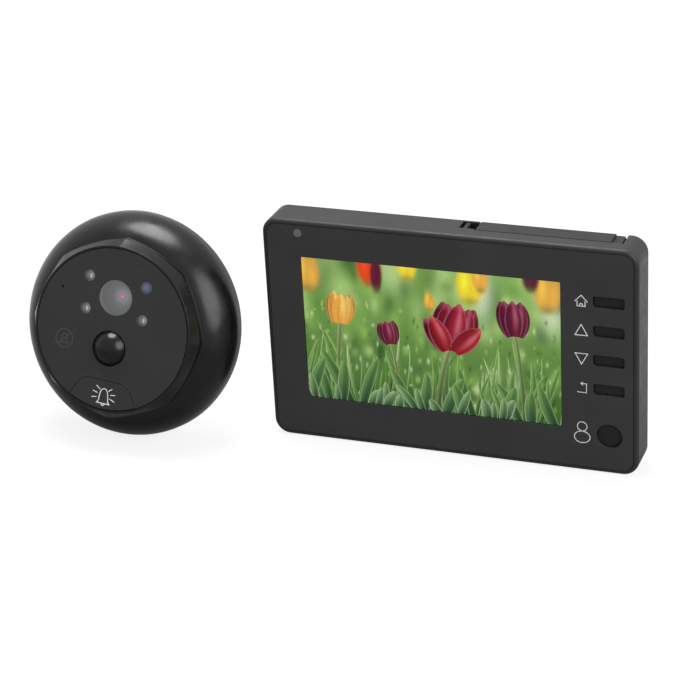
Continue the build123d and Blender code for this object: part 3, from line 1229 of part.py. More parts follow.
def outdoor_pieces():
    return {
        "outdoor_shell": make_outdoor_shell(),
        "outdoor_back": make_outdoor_back(),
        "outdoor_back_screws": make_back_screws(),
        "outdoor_face": make_outdoor_face(),
        "camera_window": make_camera_window(),
        "led_windows": make_eye_windows(),
        "sensor_window": make_sensor_window(),
        "lens_tube": make_lens_tube(),
        "lens_glass": make_lens_glass(),
        "lens_holder": make_lens_holder(),
        "ir_leds": make_ir_leds(),
        "light_sensor": make_light_sensor(),
        "pir_dome": make_pir_dome(),
        "pir_sensor": make_pir_sensor(),
        "microphone": make_microphone(),
        "bell_button": make_bell_button(),
        "bell_switch": make_bell_switch(),
        "outdoor_board": make_outdoor_board(),
        "outdoor_chips": chips(OUT_CHIP_SHARES, FACE_R, FACE_R, OUT_BOARD_BACK),
        "outdoor_board_screws": make_outdoor_board_screws(),
        "outdoor_socket": make_outdoor_socket(),
        "door_barrel": make_door_barrel(),
        "door_seal": make_seal(),
    }


def main():
    os.makedirs("parts", exist_ok=True)
    for pieces, place in ((indoor_pieces(), INDOOR_PLACE), (outdoor_pieces(), OUTDOOR_PLACE),
                          ({"door_bracket": make_bracket()}, DOOR_PLACE)):
        for name, solid in pieces.items():
            export_step(place * solid, f"parts/{name}.step")


main()
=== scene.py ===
"""Looks of the peephole door camera: materials, printed marks, the lit screen, light and camera.

Places in the world are in metres. Each unit is dressed in its own coordinates in millimetres: x to the
right, z up, and depth backwards from the unit's face, like the solids under the marks.
"""
import json
import math
import random

import bpy
from mathutils import Matrix, Vector


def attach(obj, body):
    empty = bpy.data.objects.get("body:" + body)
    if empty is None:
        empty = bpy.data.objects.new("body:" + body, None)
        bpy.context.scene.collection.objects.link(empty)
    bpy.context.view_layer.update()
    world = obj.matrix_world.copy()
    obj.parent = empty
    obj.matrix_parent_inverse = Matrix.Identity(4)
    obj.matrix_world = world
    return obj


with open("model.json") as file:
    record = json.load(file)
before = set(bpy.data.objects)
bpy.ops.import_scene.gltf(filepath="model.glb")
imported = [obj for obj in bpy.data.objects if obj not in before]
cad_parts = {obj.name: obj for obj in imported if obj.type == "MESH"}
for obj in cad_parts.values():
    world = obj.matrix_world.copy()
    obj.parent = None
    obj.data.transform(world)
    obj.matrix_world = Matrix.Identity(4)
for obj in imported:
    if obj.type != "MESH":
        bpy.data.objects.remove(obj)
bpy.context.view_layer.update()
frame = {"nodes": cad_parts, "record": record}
NODES = frame["nodes"]

MM = 0.001
INDOOR_PLACE = (0.0260, -0.0176, 0.0)
OUTDOOR_PLACE = (-0.0944, -0.0399, 0.0029)
OUTDOOR_LEAN = -16.4
OUTDOOR_ROLL = 6.2
INDOOR = Matrix.Translation(INDOOR_PLACE)
OUTDOOR = (Matrix.Translation(OUTDOOR_PLACE)
           @ Matrix.Rotation(math.radians(OUTDOOR_LEAN), 4, "X")
           @ Matrix.Rotation(math.radians(OUTDOOR_ROLL), 4, "Y"))


# Colours

def lin(r, g, b):
    """A screen colour, 0 to 255, as the shader's linear colour."""
    def one(value):
        value /= 255
        return value / 12.92 if value <= 0.04045 else ((value + 0.055) / 1.055) ** 2.4
    return (one(r), one(g), one(b), 1.0)


def grey(value):
    """A linear grey, 0 to 1."""
    return (value, value, value, 1.0)


def tint(colour, k):
    """A colour made k times as bright."""
    return tuple(min(1.0, c * k) for c in colour[:3]) + (1.0,)


def mixed(a, b, k):
    """Colour a with a share k of colour b."""
    return tuple(p * (1 - k) + q * k for p, q in zip(a, b))


# Node trees

class Tree:
    """Short way to build the node tree of a material or world."""

    def __init__(self, owner):
        owner.use_nodes = True
        self.tree = owner.node_tree
        self.tree.nodes.clear()

    def add(self, kind, **values):
        """A node. Names with a capital are its inputs, with _ for a space, and the others its settings."""
        node = self.tree.nodes.new(kind)
        for key, value in values.items():
            if key[0].isupper():
                node.inputs[key.replace("_", " ")].default_value = value
            else:
                setattr(node, key, value)
        return node

    def link(self, a, b):
        """A wire from output a to input b."""
        self.tree.links.new(a, b)

    def calc(self, operation, *values):
        """One sum on numbers and outputs."""
        node = self.add("ShaderNodeMath", operation=operation)
        for socket, value in zip(node.inputs, values):
            if isinstance(value, (int, float)):
                socket.default_value = value
            else:
                self.link(value, socket)
        return node.outputs[0]

    def ranged(self, value, start, end, low, high):
        """The run of a value from start to end, turned into one from low to high that goes no further."""
        node = self.add("ShaderNodeMapRange", From_Min=start, From_Max=end, To_Min=low, To_Max=high)
        self.link(value, node.inputs["Value"])
        return node.outputs["Result"]

    def shader_mix(self, share, a, b):
        """Shader a with a share of shader b."""
        node = self.add("ShaderNodeMixShader")
        for socket, value in zip(node.inputs, (share, a, b)):
            self.link(value, socket)
        return node.outputs[0]


# Most of a noise's values lie between these
NOISE_LOW, NOISE_HIGH = 0.3, 0.7
EDGE_SAMPLES = 6


class Material(Tree):
    """A material that is laid out in the coordinates of its object."""

    def __init__(self, name):
        self.mat = bpy.data.materials.new(name)
        super().__init__(self.mat)
        self.out = self.add("ShaderNodeOutputMaterial")
        self.coord = self.add("ShaderNodeTexCoord").outputs["Object"]

    def stretched(self, scale):
        """The coordinates, made larger by a factor along each axis."""
        mapping = self.add("ShaderNodeMapping", Scale=scale)
        self.link(self.coord, mapping.inputs["Vector"])
        return mapping.outputs["Vector"]

    def texture(self, kind, vector=None, **values):
        """A texture over the coordinates, or over others."""
        node = self.add(kind, **values)
        self.link(vector or self.coord, node.inputs["Vector"])
        return node

    def noise(self, scale, detail, vector=None):
        """Noise with so many cells to the metre."""
        return self.texture("ShaderNodeTexNoise", vector, Scale=scale, Detail=detail).outputs["Fac"]

    def ramp(self, value, *stops):
        """Colours by value, from stops of a place and a colour."""
        node = self.add("ShaderNodeValToRGB")
        for i, (at, colour) in enumerate(stops):
            stop = node.color_ramp.elements[i] if i < 2 else node.color_ramp.elements.new(at)
            stop.position, stop.color = at, colour
        self.link(value, node.inputs["Fac"])
        return node.outputs["Color"]

    def spread(self, noise, low, high):
        """A noise as a value from low to high."""
        return self.ranged(noise, NOISE_LOW, NOISE_HIGH, low, high)

    def normal(self, height, distance, edge=0.0):
        """Relief of some depth, with edges rounded by a radius. Both are in metres."""
        bump = self.add("ShaderNodeBump", Distance=distance)
        self.link(height, bump.inputs["Height"])
        if edge:
            bevel = self.add("ShaderNodeBevel", samples=EDGE_SAMPLES, Radius=edge)
            self.link(bevel.outputs["Normal"], bump.inputs["Normal"])
        return bump.outputs["Normal"]

    def surface(self, linked, **values):
        """The material's surface, from outputs by the name of the input that they feed, and plain values."""
        node = self.add("ShaderNodeBsdfPrincipled", **values)
        for name, output in linked.items():
            self.link(output, node.inputs[name])
        self.link(node.outputs["BSDF"], self.out.inputs["Surface"])
        return node.outputs["BSDF"]


# Kinds of material. Scales are in cells to the metre, and grains, depths, edges and places in millimetres.

CLOUD_SCALE = 45
GLOSS_SCALE = 160
DRAWN_SCALE = 500
DRAWN_DEPTH = 0.004
DRAWN_EDGE = 0.08
TRACK_SCALE = 260
TRACK_DEPTH = 0.02
SOLDER_DOT_SCALE = 420
FOAM_SCALE = 2200
FOAM_DEPTH = 0.12
HAZE_SCALE = 500
RIPPLE_SCALE = 250
RIPPLE_DEPTH = 0.002
INK_SCALE = 1800
INK_GLOSS_SCALE = 900
LEAF_SCALE = 1300
LEAF_STRETCH = (1.4, 1, 0.8)


def plastic(name, colour, rough, grain=0.25, depth=0.012, specular=0.5, edge=0.12, coat=0.0):
    """Moulded plastic: spark-eroded grain, slightly uneven colour and gloss, softened edges."""
    m = Material(name)
    clouds = m.noise(CLOUD_SCALE, 4)
    m.surface({"Base Color": m.ramp(clouds, (0.3, tint(colour, 0.9)), (0.7, tint(colour, 1.1))),
               "Roughness": m.spread(m.noise(GLOSS_SCALE, 5), rough - 0.05, rough + 0.06),
               "Normal": m.normal(m.noise(1 / (grain * MM), 3), depth * MM, edge * MM)},
              Specular_IOR_Level=specular, Coat_Weight=coat, Coat_Roughness=0.08)
    return m.mat


def metal(name, colour, rough, run=(1, 1, 30)):
    """Metal with fine drawn lines, close together along the largest number of run."""
    m = Material(name)
    lines = m.noise(DRAWN_SCALE, 4, m.stretched(run))
    m.surface({"Base Color": m.ramp(lines, (0.25, tint(colour, 0.93)), (0.75, tint(colour, 1.05))),
               "Roughness": m.spread(lines, rough - 0.03, rough + 0.04),
               "Normal": m.normal(lines, DRAWN_DEPTH * MM, DRAWN_EDGE * MM)},
              Metallic=1.0)
    return m.mat


def board(name):
    """Solder mask over copper tracks, with small plated dots."""
    m = Material(name)
    waves = m.texture("ShaderNodeTexWave", bands_direction="DIAGONAL", Scale=TRACK_SCALE, Distortion=7,
                      Detail=1)
    tracks = waves.outputs["Fac"]
    dots = m.texture("ShaderNodeTexVoronoi", Scale=SOLDER_DOT_SCALE).outputs["Distance"]
    plated = m.add("ShaderNodeMix", data_type="RGBA", B=lin(196, 168, 96))
    m.link(m.ramp(dots, (0.10, grey(1)), (0.14, grey(0))), plated.inputs["Factor"])
    m.link(m.ramp(tracks, (0.45, lin(10, 66, 34)), (0.55, lin(20, 96, 50))), plated.inputs["A"])
    m.surface({"Base Color": plated.outputs["Result"], "Normal": m.normal(tracks, TRACK_DEPTH * MM)},
              Roughness=0.35)
    return m.mat


def foam(name, colour):
    """Small cells, each darker in its sunken middle: painted shade in the pits."""
    m = Material(name)
    cells = m.texture("ShaderNodeTexVoronoi", Scale=FOAM_SCALE).outputs["Distance"]
    m.surface({"Base Color": m.ramp(cells, (0.0, tint(colour, 0.5)), (0.6, tint(colour, 1.4))),
               "Normal": m.normal(cells, FOAM_DEPTH * MM)},
              Roughness=0.95, Specular_IOR_Level=0.15)
    return m.mat


def spotted(name, x, z, reach, *stops):
    """Clouded window, coloured by distance from one point of the outdoor unit's face: on the camera window
    and the emitter discs, a painted glint with painted reflection round it.
    """
    m = Material(name)
    far = m.add("ShaderNodeVectorMath", operation="DISTANCE")
    m.link(m.coord, far.inputs[0])
    far.inputs[1].default_value = OUTDOOR @ Vector((x * MM, 0, z * MM))
    share = m.calc("DIVIDE", far.outputs["Value"], reach * MM)
    m.surface({"Base Color": m.ramp(share, *stops),
               "Roughness": m.spread(m.noise(HAZE_SCALE, 3), 0.2, 0.28),
               "Normal": m.normal(m.noise(RIPPLE_SCALE, 1), RIPPLE_DEPTH * MM)},
              Specular_IOR_Level=0.35, Coat_Weight=0.3, Coat_Roughness=0.1)
    return m.mat


def ink(name, colour, rough=0.45):
    """Screen-printed ink, a little uneven."""
    m = Material(name)
    m.surface({"Base Color": m.ramp(m.noise(INK_SCALE, 3), (0.3, tint(colour, 0.86)), (0.7, colour)),
               "Roughness": m.spread(m.noise(INK_GLOSS_SCALE, 2), rough, rough + 0.1)},
              Specular_IOR_Level=0.35)
    return m.mat


def picture(name):
    """Lit picture: colours of the mesh's points, with fine leaf-like mottling."""
    m = Material(name)
    paint = m.add("ShaderNodeVertexColor", layer_name="paint")
    mottling = m.ramp(m.noise(LEAF_SCALE, 3, m.stretched(LEAF_STRETCH)), (0.3, grey(0.92)), (0.7, grey(1.08)))
    light = m.add("ShaderNodeMix", data_type="RGBA", blend_type="MULTIPLY", Factor=1.0)
    m.link(paint.outputs["Color"], light.inputs["A"])
    m.link(mottling, light.inputs["B"])
    m.surface({"Emission Color": light.outputs["Result"]},
              Base_Color=grey(0), Roughness=0.25, Specular_IOR_Level=0.1, Emission_Strength=1.0)
    return m.mat


# The object's materials, by the slots of its solids

MATERIAL = {
    "housing_plastic": plastic("housing_plastic", lin(38, 38, 39), 0.48, specular=0.36),
    "panel_plastic": plastic("panel_plastic", lin(52, 52, 53), 0.5, grain=0.2, depth=0.010, specular=0.35),
    "key_plastic": plastic("key_plastic", lin(29, 29, 31), 0.5, specular=0.28, edge=0.2),
    "door_plastic": plastic("door_plastic", lin(31, 31, 32), 0.48, specular=0.3),
    "shell_plastic": plastic("shell_plastic", lin(11, 11, 12), 0.27, grain=0.4, depth=0.002, specular=0.4,
                             edge=0.35),
    "face_plastic": plastic("face_plastic", lin(44, 44, 45), 0.5, grain=0.16, depth=0.010, specular=0.35),
    "bell_plastic": plastic("bell_plastic", lin(44, 44, 45), 0.5, grain=0.16, depth=0.010, specular=0.35),
    "dome_plastic": plastic("dome_plastic", lin(10, 10, 11), 0.21, grain=0.6, depth=0.001, specular=0.4,
                            edge=0.0),
    "screen_glass": plastic("screen_glass", lin(8, 8, 9), 0.2, grain=0.5, depth=0.001, edge=0.0),
    # Painted reflection on the camera window: a pink glint of the lens coating with a pale halo round it, on
    # grey
    "window_glass": spotted("window_glass", 2.6, 13.1, 9.5,
                            (0.0, lin(206, 150, 176)), (0.085, lin(186, 104, 142)),
                            (0.12, lin(146, 126, 136)), (0.16, lin(132, 138, 138)),
                            (0.3, lin(118, 121, 121)), (0.42, lin(106, 108, 108)),
                            (0.8, lin(96, 98, 99)), (1.0, lin(112, 113, 114))),
    "led_clear": plastic("led_clear", lin(98, 99, 100), 0.2, grain=0.5, depth=0.002, coat=0.3, edge=0.0),
    "sensor_tint": spotted("sensor_tint", 11.3, 18.1, 2.4,
                           (0.0, lin(104, 108, 132)), (0.45, lin(88, 93, 114)),
                           (0.8, lin(60, 67, 92)), (1.0, lin(64, 69, 90))),
    "lens_glass": plastic("lens_coating", lin(46, 40, 58), 0.05, grain=1.0, depth=0.0005, coat=1.0, edge=0.0),
    "light_diffuser": plastic("light_diffuser", lin(108, 108, 110), 0.5, specular=0.3),
    "board_green": board("board_green"),
    "chip_black": plastic("chip_black", lin(28, 28, 30), 0.55, grain=0.1, depth=0.01),
    "switch_body": plastic("switch_body", lin(58, 58, 60), 0.5),
    "socket_metal": metal("socket_metal", lin(205, 205, 208), 0.3),
    "socket_plastic": plastic("socket_plastic", lin(226, 220, 200), 0.5),
    "steel": metal("steel", lin(196, 196, 200), 0.32),
    "bracket_steel": plastic("bracket_steel", lin(36, 36, 38), 0.45, grain=0.35, depth=0.05),
    "barrel_metal": metal("barrel_metal", lin(214, 214, 218), 0.3, run=(1, 30, 1)),
    "contact_metal": metal("contact_metal", lin(222, 186, 110), 0.28),
    "flex_film": plastic("flex_film", lin(190, 122, 40), 0.35, grain=0.5, depth=0.005, coat=0.3),
    "cone_paper": foam("cone_paper", lin(52, 52, 54)),
    "battery_wrap": plastic("battery_wrap", lin(64, 88, 130), 0.34, grain=0.8, depth=0.002),
    "tray_white": metal("tray_white", lin(208, 208, 210), 0.4),
    "seal_foam": foam("seal_foam", lin(40, 40, 41)),
}
# Two small parts under openings in the housing's top are darker than the materials of their slots
DARK_PARTS = {
    "power_switch": plastic("power_switch_black", lin(26, 26, 28), 0.5),
    "battery_door_pin": plastic("pin_black", lin(24, 24, 26), 0.5),
}
WHITE_INK = ink("white_ink", lin(236, 238, 240))
FAINT_INK = ink("faint_ink", lin(82, 82, 84))
DARK_INK = ink("dark_ink", lin(52, 52, 54))
# Near-white ink for the painted glints in the emitters' windows
GLINT_GREY = ink("glint_grey", lin(206, 207, 208), 0.3)


def dress_solids():
    """Each solid gets the material of its slot."""
    for spec in frame["record"]["subparts"]:
        mesh = NODES[spec["node"]].data
        mesh.materials.clear()
        mesh.materials.append(DARK_PARTS.get(spec["node"], MATERIAL[spec["material_slot"]]))


# Thin meshes on the faces

def piece(name, verts, faces, place, body, material, colours=None):
    """A mesh from points in millimetres in one unit's coordinates."""
    mesh = bpy.data.meshes.new(name)
    mesh.from_pydata([place @ (Vector(v) * MM) for v in verts], [], faces)
    mesh.materials.append(material)
    if colours:
        layer = mesh.color_attributes.new("paint", "FLOAT_COLOR", "POINT")
        for i, colour in enumerate(colours):
            layer.data[i].color = colour
    obj = bpy.data.objects.new(name, mesh)
    bpy.context.scene.collection.objects.link(obj)
    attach(obj, body)
    return obj


INK_THICK = 0.03
# A mitred corner reaches out no further than one over this, in half widths
MITRE_LIMIT = 0.45


class Strokes:
    """Lines with a little thickness, gathered into one mesh on one face."""

    def __init__(self, depth, width, thick=INK_THICK):
        self.verts, self.faces = [], []
        self.depth, self.width, self.thick = depth, width, thick

    def line(self, points, closed=False, width=None):
        """A line with mitred corners through points (x, z)."""
        half = (width or self.width) / 2
        points = [Vector(p) for p in points]
        count = len(points)
        left, right = [], []
        for i, p in enumerate(points):
            came = (p - points[i - 1]).normalized() if closed or i else None
            goes = (points[(i + 1) % count] - p).normalized() if closed or i < count - 1 else None
            corner = came is not None and goes is not None
            run = (came + goes).normalized() if corner else came if came is not None else goes
            side = Vector((-run.y, run.x))
            if corner:
                side /= max(MITRE_LIMIT, side.dot(Vector((-came.y, came.x))))
            left.append(p + side * half)
            right.append(p - side * half)
        start, back = len(self.verts), 2 * count
        for depth in (self.depth - self.thick, self.depth):
            self.verts += [(v.x, depth, v.y) for v in left + right]
        for i in range(count if closed else count - 1):
            j = (i + 1) % count
            l0, l1, r0, r1 = start + i, start + j, start + count + i, start + count + j
            self.faces += [(l0, l1, r1, r0), (l0, l0 + back, l1 + back, l1), (r0, r1, r1 + back, r0 + back)]

    def arc(self, x, z, r, start, end, steps, squash=1.0):
        """Part of a circle by its angles, or all of it, squash times as high as it is wide."""
        closed = end - start >= 360
        points = []
        for i in range(steps if closed else steps + 1):
            a = math.radians(start + (end - start) * i / steps)
            points.append((x + r * math.cos(a), z + r * squash * math.sin(a)))
        self.line(points, closed)

    def make(self, name, place, body, material):
        """The lines as one piece."""
        piece(name, self.verts, self.faces, place, body, material)


def moved(points, x, z, k=1.0):
    """Points made k times as large and set round (x, z)."""
    return [(x + px * k, z + pz * k) for px, pz in points]


# Marks beside the keys. Circles are x, z and radius.

KEY_MARK_WIDTH = 0.3
HOME_X, HOME_Z = 48.36, 20.85
HOME_ROOF = ((-2.3, 1.65), (0, 4.05), (2.3, 1.65))
HOME_WALLS = ((-1.4, 1.95), (-1.4, 0), (1.4, 0), (1.4, 1.95))
HOME_DOORWAY = ((-0.5, 0), (-0.5, 0.75), (0, 1.1), (0.5, 0.75), (0.5, 0))
UP_MARK = ((46.1, 9.9), (48.32, 13.95), (50.58, 9.9))
DOWN_MARK = ((46.08, 2.95), (50.6, 2.95), (48.35, -1.1))
BACK_SHAFT = ((46.75, -11.9), (50.05, -12.05), (50.1, -8.55), (48.1, -8.6))
BACK_TIP = ((48.85, -7.95), (47.98, -8.6), (48.85, -9.2))
BACK_WIDTH = 0.26
VIEW_TOP = (48.41, -25.26, 1.75)
VIEW_FOOT = (48.38, -29.4, 2.82)
VIEW_FOOT_SQUASH = 0.8


def key_marks():
    """Outlines of a house, two triangles, a bent arrow and two rings."""
    marks = Strokes(0.0, KEY_MARK_WIDTH)
    for points in (HOME_ROOF, HOME_WALLS, HOME_DOORWAY):
        marks.line(moved(points, HOME_X, HOME_Z))
    for points in (UP_MARK, DOWN_MARK):
        marks.line(points, closed=True)
    for points in (BACK_SHAFT, BACK_TIP):
        marks.line(points, width=BACK_WIDTH)
    marks.arc(*VIEW_TOP, 0, 360, 32)
    marks.arc(*VIEW_FOOT, 0, 360, 36, VIEW_FOOT_SQUASH)
    marks.make("screen_key_marks", INDOOR, "monitor", WHITE_INK)


# Bell marks on the outdoor unit. The bell has a round crown and a flared lip.

BELL_HALF = [(0.0, 2.9), (0.55, 2.75), (1.05, 2.3), (1.4, 1.6), (1.62, 0.6), (1.76, -0.7), (1.9, -1.8),
             (2.5, -2.65)]
BELL = BELL_HALF + [(-x, z) for x, z in reversed(BELL_HALF[1:])]
BELL_X, BELL_Z = 0.45, -24.7
BELL_WIDTH = 0.34
CLAPPER = (0.45, -27.4, 0.66)
RAY_WIDTH = 0.3
RAYS = (((-2.9, -21.2), (-1.2, -22.3)), ((-4.05, -23.3), (-2.1, -23.8)), ((-4.35, -25.75), (-2.3, -25.35)),
        ((2.15, -22.5), (3.5, -21.4)), ((3.0, -23.75), (4.95, -23.4)), ((2.95, -25.15), (4.95, -25.95)))
QUIET_X, QUIET_Z = -18.07, -6.78
QUIET_R = 3.4
QUIET_WIDTH = 0.22
QUIET_SLASH = ((-2.3, -2.5), (2.3, 2.5))
QUIET_BELL_SCALE = 0.62


def bell_marks():
    """The bell with its rays on the button, and the small crossed bell to its left."""
    bell = Strokes(0.0, BELL_WIDTH)
    bell.line(moved(BELL, BELL_X, BELL_Z), closed=True)
    bell.arc(*CLAPPER, 190, 350, 8)
    for ray in RAYS:
        bell.line(ray, width=RAY_WIDTH)
    bell.make("bell_button_mark", OUTDOOR, "bell_button_body", WHITE_INK)
    quiet = Strokes(0.0, QUIET_WIDTH)
    quiet.arc(QUIET_X, QUIET_Z, QUIET_R, 0, 360, 40)
    quiet.line(moved(QUIET_SLASH, QUIET_X, QUIET_Z))
    quiet.line(moved(BELL, QUIET_X, QUIET_Z, QUIET_BELL_SCALE), closed=True)
    quiet.make("quiet_mark", OUTDOOR, "fixed", FAINT_INK)


# Picture on the screen: a bed of tulips. Its grass, leaves and streaks are drawn from seeded numbers.

SEED = 41
PICTURE_W, PICTURE_H = 95.04, 55.15
PICTURE_X, PICTURE_Z = -6.70, 1.26
PICTURE_DEPTH = 0.68
LAYER_STEP = 0.0004
# Stems and leaves start just below the picture, and anywhere between its sides and a little past them
ROOTS_Z = -PICTURE_H / 2 - 1
SIDE = 50
# Across a leaf: place as a share of half the width, brightness, and share of the rim's colour
LEAF_SECTION_SHARES = ((1, 1.0, 0.75), (0.84, 1.0, 0.1), (0.3, 1.15, 0.0), (0.05, 0.75, 0.0),
                       (-0.5, 0.62, 0.0), (-0.84, 0.78, 0.05), (-1, 0.9, 0.55))
PETAL_ROWS, PETAL_COLUMNS = 13, 11
# A petal is lightest at some place across it, and pale from some place on towards its sides and tip
PETAL_LIT = 0.25
PETAL_RIM = 0.86
PETAL_PALEST = 0.6


def clip(x, z):
    """A point held inside the picture."""
    return (max(-PICTURE_W / 2, min(PICTURE_W / 2, x)), max(-PICTURE_H / 2, min(PICTURE_H / 2, z)))


class Painting:
    """Shapes with painted points, each a little nearer to the viewer than the one before."""

    def __init__(self):
        self.verts, self.faces, self.colours = [], [], []
        self.depth = PICTURE_DEPTH

    def grid(self, rows):
        """Rows of the same length, of points (x, z) with their colours, joined by quads."""
        start, wide = len(self.verts), len(rows[0])
        for row in rows:
            for point, colour in row:
                x, z = clip(*point)
                self.verts.append((PICTURE_X + x, self.depth, PICTURE_Z + z))
                self.colours.append(tuple(max(0.0, min(1.0, c)) for c in colour[:3]) + (1.0,))
        for j in range(len(rows) - 1):
            for i in range(wide - 1):
                a = start + j * wide + i
                self.faces.append((a, a + 1, a + wide + 1, a + wide))
        self.depth -= LAYER_STEP

    def blade(self, spine, widths, low, high, rim):
        """A leaf or stem: a ribbon along a spine, darker at its foot and on one side, with pale edges."""
        rows = []
        last = len(spine) - 1
        for i, ((x, z), width) in enumerate(zip(spine, widths)):
            ax, az = spine[max(i - 1, 0)]
            bx, bz = spine[min(i + 1, last)]
            length = math.hypot(bx - ax, bz - az)
            nx, nz = -(bz - az) / length, (bx - ax) / length
            base = mixed(low, high, i / last)
            row = []
            for side, shade, edge in LEAF_SECTION_SHARES:
                colour = mixed(tuple(c * shade for c in base), rim, edge)
                row.append(((x + nx * width * side, z + nz * width * side), colour))
            rows.append(row)
        self.grid(rows)

    def petal(self, rng, x, z, length, width, lean, palette):
        """A petal that starts at its foot (x, z) and leans by some degrees from upright."""
        dark, mid, pale = palette
        s, c = math.sin(math.radians(lean)), math.cos(math.radians(lean))
        streaks = [rng.uniform(0.75, 1.2) for _ in range(PETAL_COLUMNS)]
        rows = []
        for i in range(PETAL_ROWS):
            t = i / (PETAL_ROWS - 1)
            half = width / 2 * math.sin(math.pi * (0.13 + 0.84 * t)) ** 0.6
            row = []
            for j, streak in enumerate(streaks):
                u = 2 * j / (PETAL_COLUMNS - 1) - 1
                px, pz = u * half, t * length * (1 - 0.05 * u * u)
                light = min(1.0, 0.25 + 0.9 * (1 - abs(u - PETAL_LIT)) * (0.35 + 0.65 * t))
                colour = tuple(v * streak for v in mixed(dark, mid, light))
                paleness = max(0.0, abs(u) - PETAL_RIM) / 0.14 * 0.4 + max(0.0, t - PETAL_RIM) * 2.5
                paleness += 0.5 * math.exp(-((u - PETAL_LIT) ** 2 * 18 + (t - 0.62) ** 2 * 9))
                row.append(((x + px * c + pz * s, z - px * s + pz * c),
                            mixed(colour, pale, min(PETAL_PALEST, paleness))))
            rows.append(row)
        self.grid(rows)


# What is out of focus, as spots: x, z, half width, half height, colour, weight and how softly they fade

SOFT, FIRM = 1.6, 0.0
FIRM_RIM, FIRM_STEEPNESS = 0.8, 9
SPOT_REACH = 1.7
GRID_WIDE, GRID_HIGH = 180, 104
GRID_FOOT, GRID_TOP = lin(56, 96, 38), lin(128, 168, 90)
HORIZON = 2
GRASS_SPOTS, SPECK_SPOTS = 210, 160
GRASS = (lin(92, 134, 58), lin(140, 182, 90), lin(46, 84, 34), lin(176, 208, 128), lin(222, 234, 200),
         lin(34, 62, 30))
GRASS_SHARES_ABOVE = (3, 4, 2, 3, 1, 1)
GRASS_SHARES_BELOW = (3, 3, 3, 3, 1, 3)
SPECKS = (lin(214, 230, 180), lin(168, 204, 108), lin(40, 72, 30))
YELLOW, AMBER, ORANGE, WINE = lin(246, 212, 52), lin(230, 172, 72), lin(222, 66, 26), lin(88, 24, 50)
FAR_FOOT = lin(90, 110, 50)
FAR_FLOWERS = ((-46, 22, 5.5, 8, AMBER), (-22, 26, 5, 8, ORANGE), (-19.5, 23, 2.4, 7, WINE),
               (-8, 28, 4, 6, YELLOW), (15, 23, 5.5, 8, YELLOW), (19, 26, 3.2, 6, AMBER),
               (43, 23, 5.5, 8.5, AMBER), (37, 28, 3.4, 6, WINE), (0, 15, 2.2, 3.6, AMBER))


def grass_spots(rng):
    """Grass and the light in it, in large spots above the horizon and smaller ones below, and fine specks."""
    spots = []
    for _ in range(GRASS_SPOTS):
        x, z = rng.uniform(-SIDE, SIDE), rng.uniform(-30, 30)
        above = z > HORIZON
        colour = rng.choices(GRASS, GRASS_SHARES_ABOVE if above else GRASS_SHARES_BELOW)[0]
        size = rng.uniform(2.0, 5.5) if above else rng.uniform(0.8, 3.0)
        spots.append((x, z, size, size * rng.uniform(0.9, 2.2), colour, rng.uniform(0.35, 0.8), SOFT))
    for _ in range(SPECK_SPOTS):
        spots.append((rng.uniform(-SIDE, SIDE), rng.uniform(-24, 12), rng.uniform(0.25, 0.7),
                      rng.uniform(0.4, 1.6), rng.choice(SPECKS), 0.7, SOFT))
    return spots


def flower_spots():
    """Far flowers, each a firm oval with a light side, a less light one and a darker foot."""
    spots = []
    for x, z, wide, high, colour in FAR_FLOWERS:
        spots += [(x, z, wide, high, tint(colour, 0.8), 0.97, FIRM),
                  (x - wide * 0.35, z + 1, wide * 0.42, high * 0.8, tint(colour, 1.5), 0.7, SOFT),
                  (x + wide * 0.4, z - 1, wide * 0.4, high * 0.7, tint(colour, 1.15), 0.6, SOFT),
                  (x, z - high * 0.8, wide * 0.7, high * 0.25, FAR_FOOT, 0.5, SOFT)]
    return spots


def under_spots(x, z, colour, spots):
    """A colour at one point with the spots over it."""
    for sx, sz, wide, high, spot, weight, fade in spots:
        if abs(x - sx) < SPOT_REACH * wide:
            d = ((x - sx) / wide) ** 2 + ((z - sz) / high) ** 2
            k = math.exp(-fade * d) if fade else 1 / (1 + math.exp(FIRM_STEEPNESS * (d - FIRM_RIM)))
            colour = mixed(colour, spot, weight * k)
    return colour


def soft_background(art, rng):
    """A fine grid over the whole picture, greener at its foot and paler at its top, with the spots on it."""
    spots = grass_spots(rng) + flower_spots()
    rows = []
    for j in range(GRID_HIGH + 1):
        t = j / GRID_HIGH
        z = (t - 0.5) * PICTURE_H
        near = [spot for spot in spots if abs(z - spot[1]) < SPOT_REACH * spot[3]]
        plain = mixed(GRID_FOOT, GRID_TOP, t)
        places = [(i / GRID_WIDE - 0.5) * PICTURE_W for i in range(GRID_WIDE + 1)]
        rows.append([((x, z), under_spots(x, z, plain, near)) for x in places])
    art.grid(rows)


# What is in focus

LEAF_STEPS = 14
LEAF_BEND = 0.3
STEM_STEPS = 12
STEM = (lin(62, 88, 46), lin(134, 150, 96), lin(176, 190, 140))
LEAF_RIM = lin(186, 208, 150)
BLADE_TIPS = (lin(150, 190, 104), lin(104, 148, 74), lin(190, 212, 150))
RED = (lin(72, 10, 28), lin(158, 26, 48), lin(214, 132, 150))
PLUM = (lin(58, 14, 34), lin(128, 34, 62), lin(190, 120, 144))
GOLD = (lin(206, 130, 40), lin(242, 190, 86), lin(250, 226, 150))
BRIGHT_RED = lin(186, 40, 46)
# A flower's petals from back to front: place and width as shares of its size, turn and brightness
PETAL_SHARES = ((-0.12, -15, 0.56, 0.6), (0.14, 15, 0.56, 0.55), (0.0, 0, 0.62, 0.7),
                (-0.15, -8, 0.5, 0.9), (0.16, 9, 0.5, 0.85), (0.0, 1, 0.5, 1.05))
# The large flower has open petals too, behind it and in front
LARGE_X, LARGE_Z = 7, -3
OPEN_BEHIND = ((-3.4, -34, 14, 0.55), (4.2, 40, 13, 0.6))
OPEN_IN_FRONT = ((-1.8, -24, 14), (3.2, 46, 14))


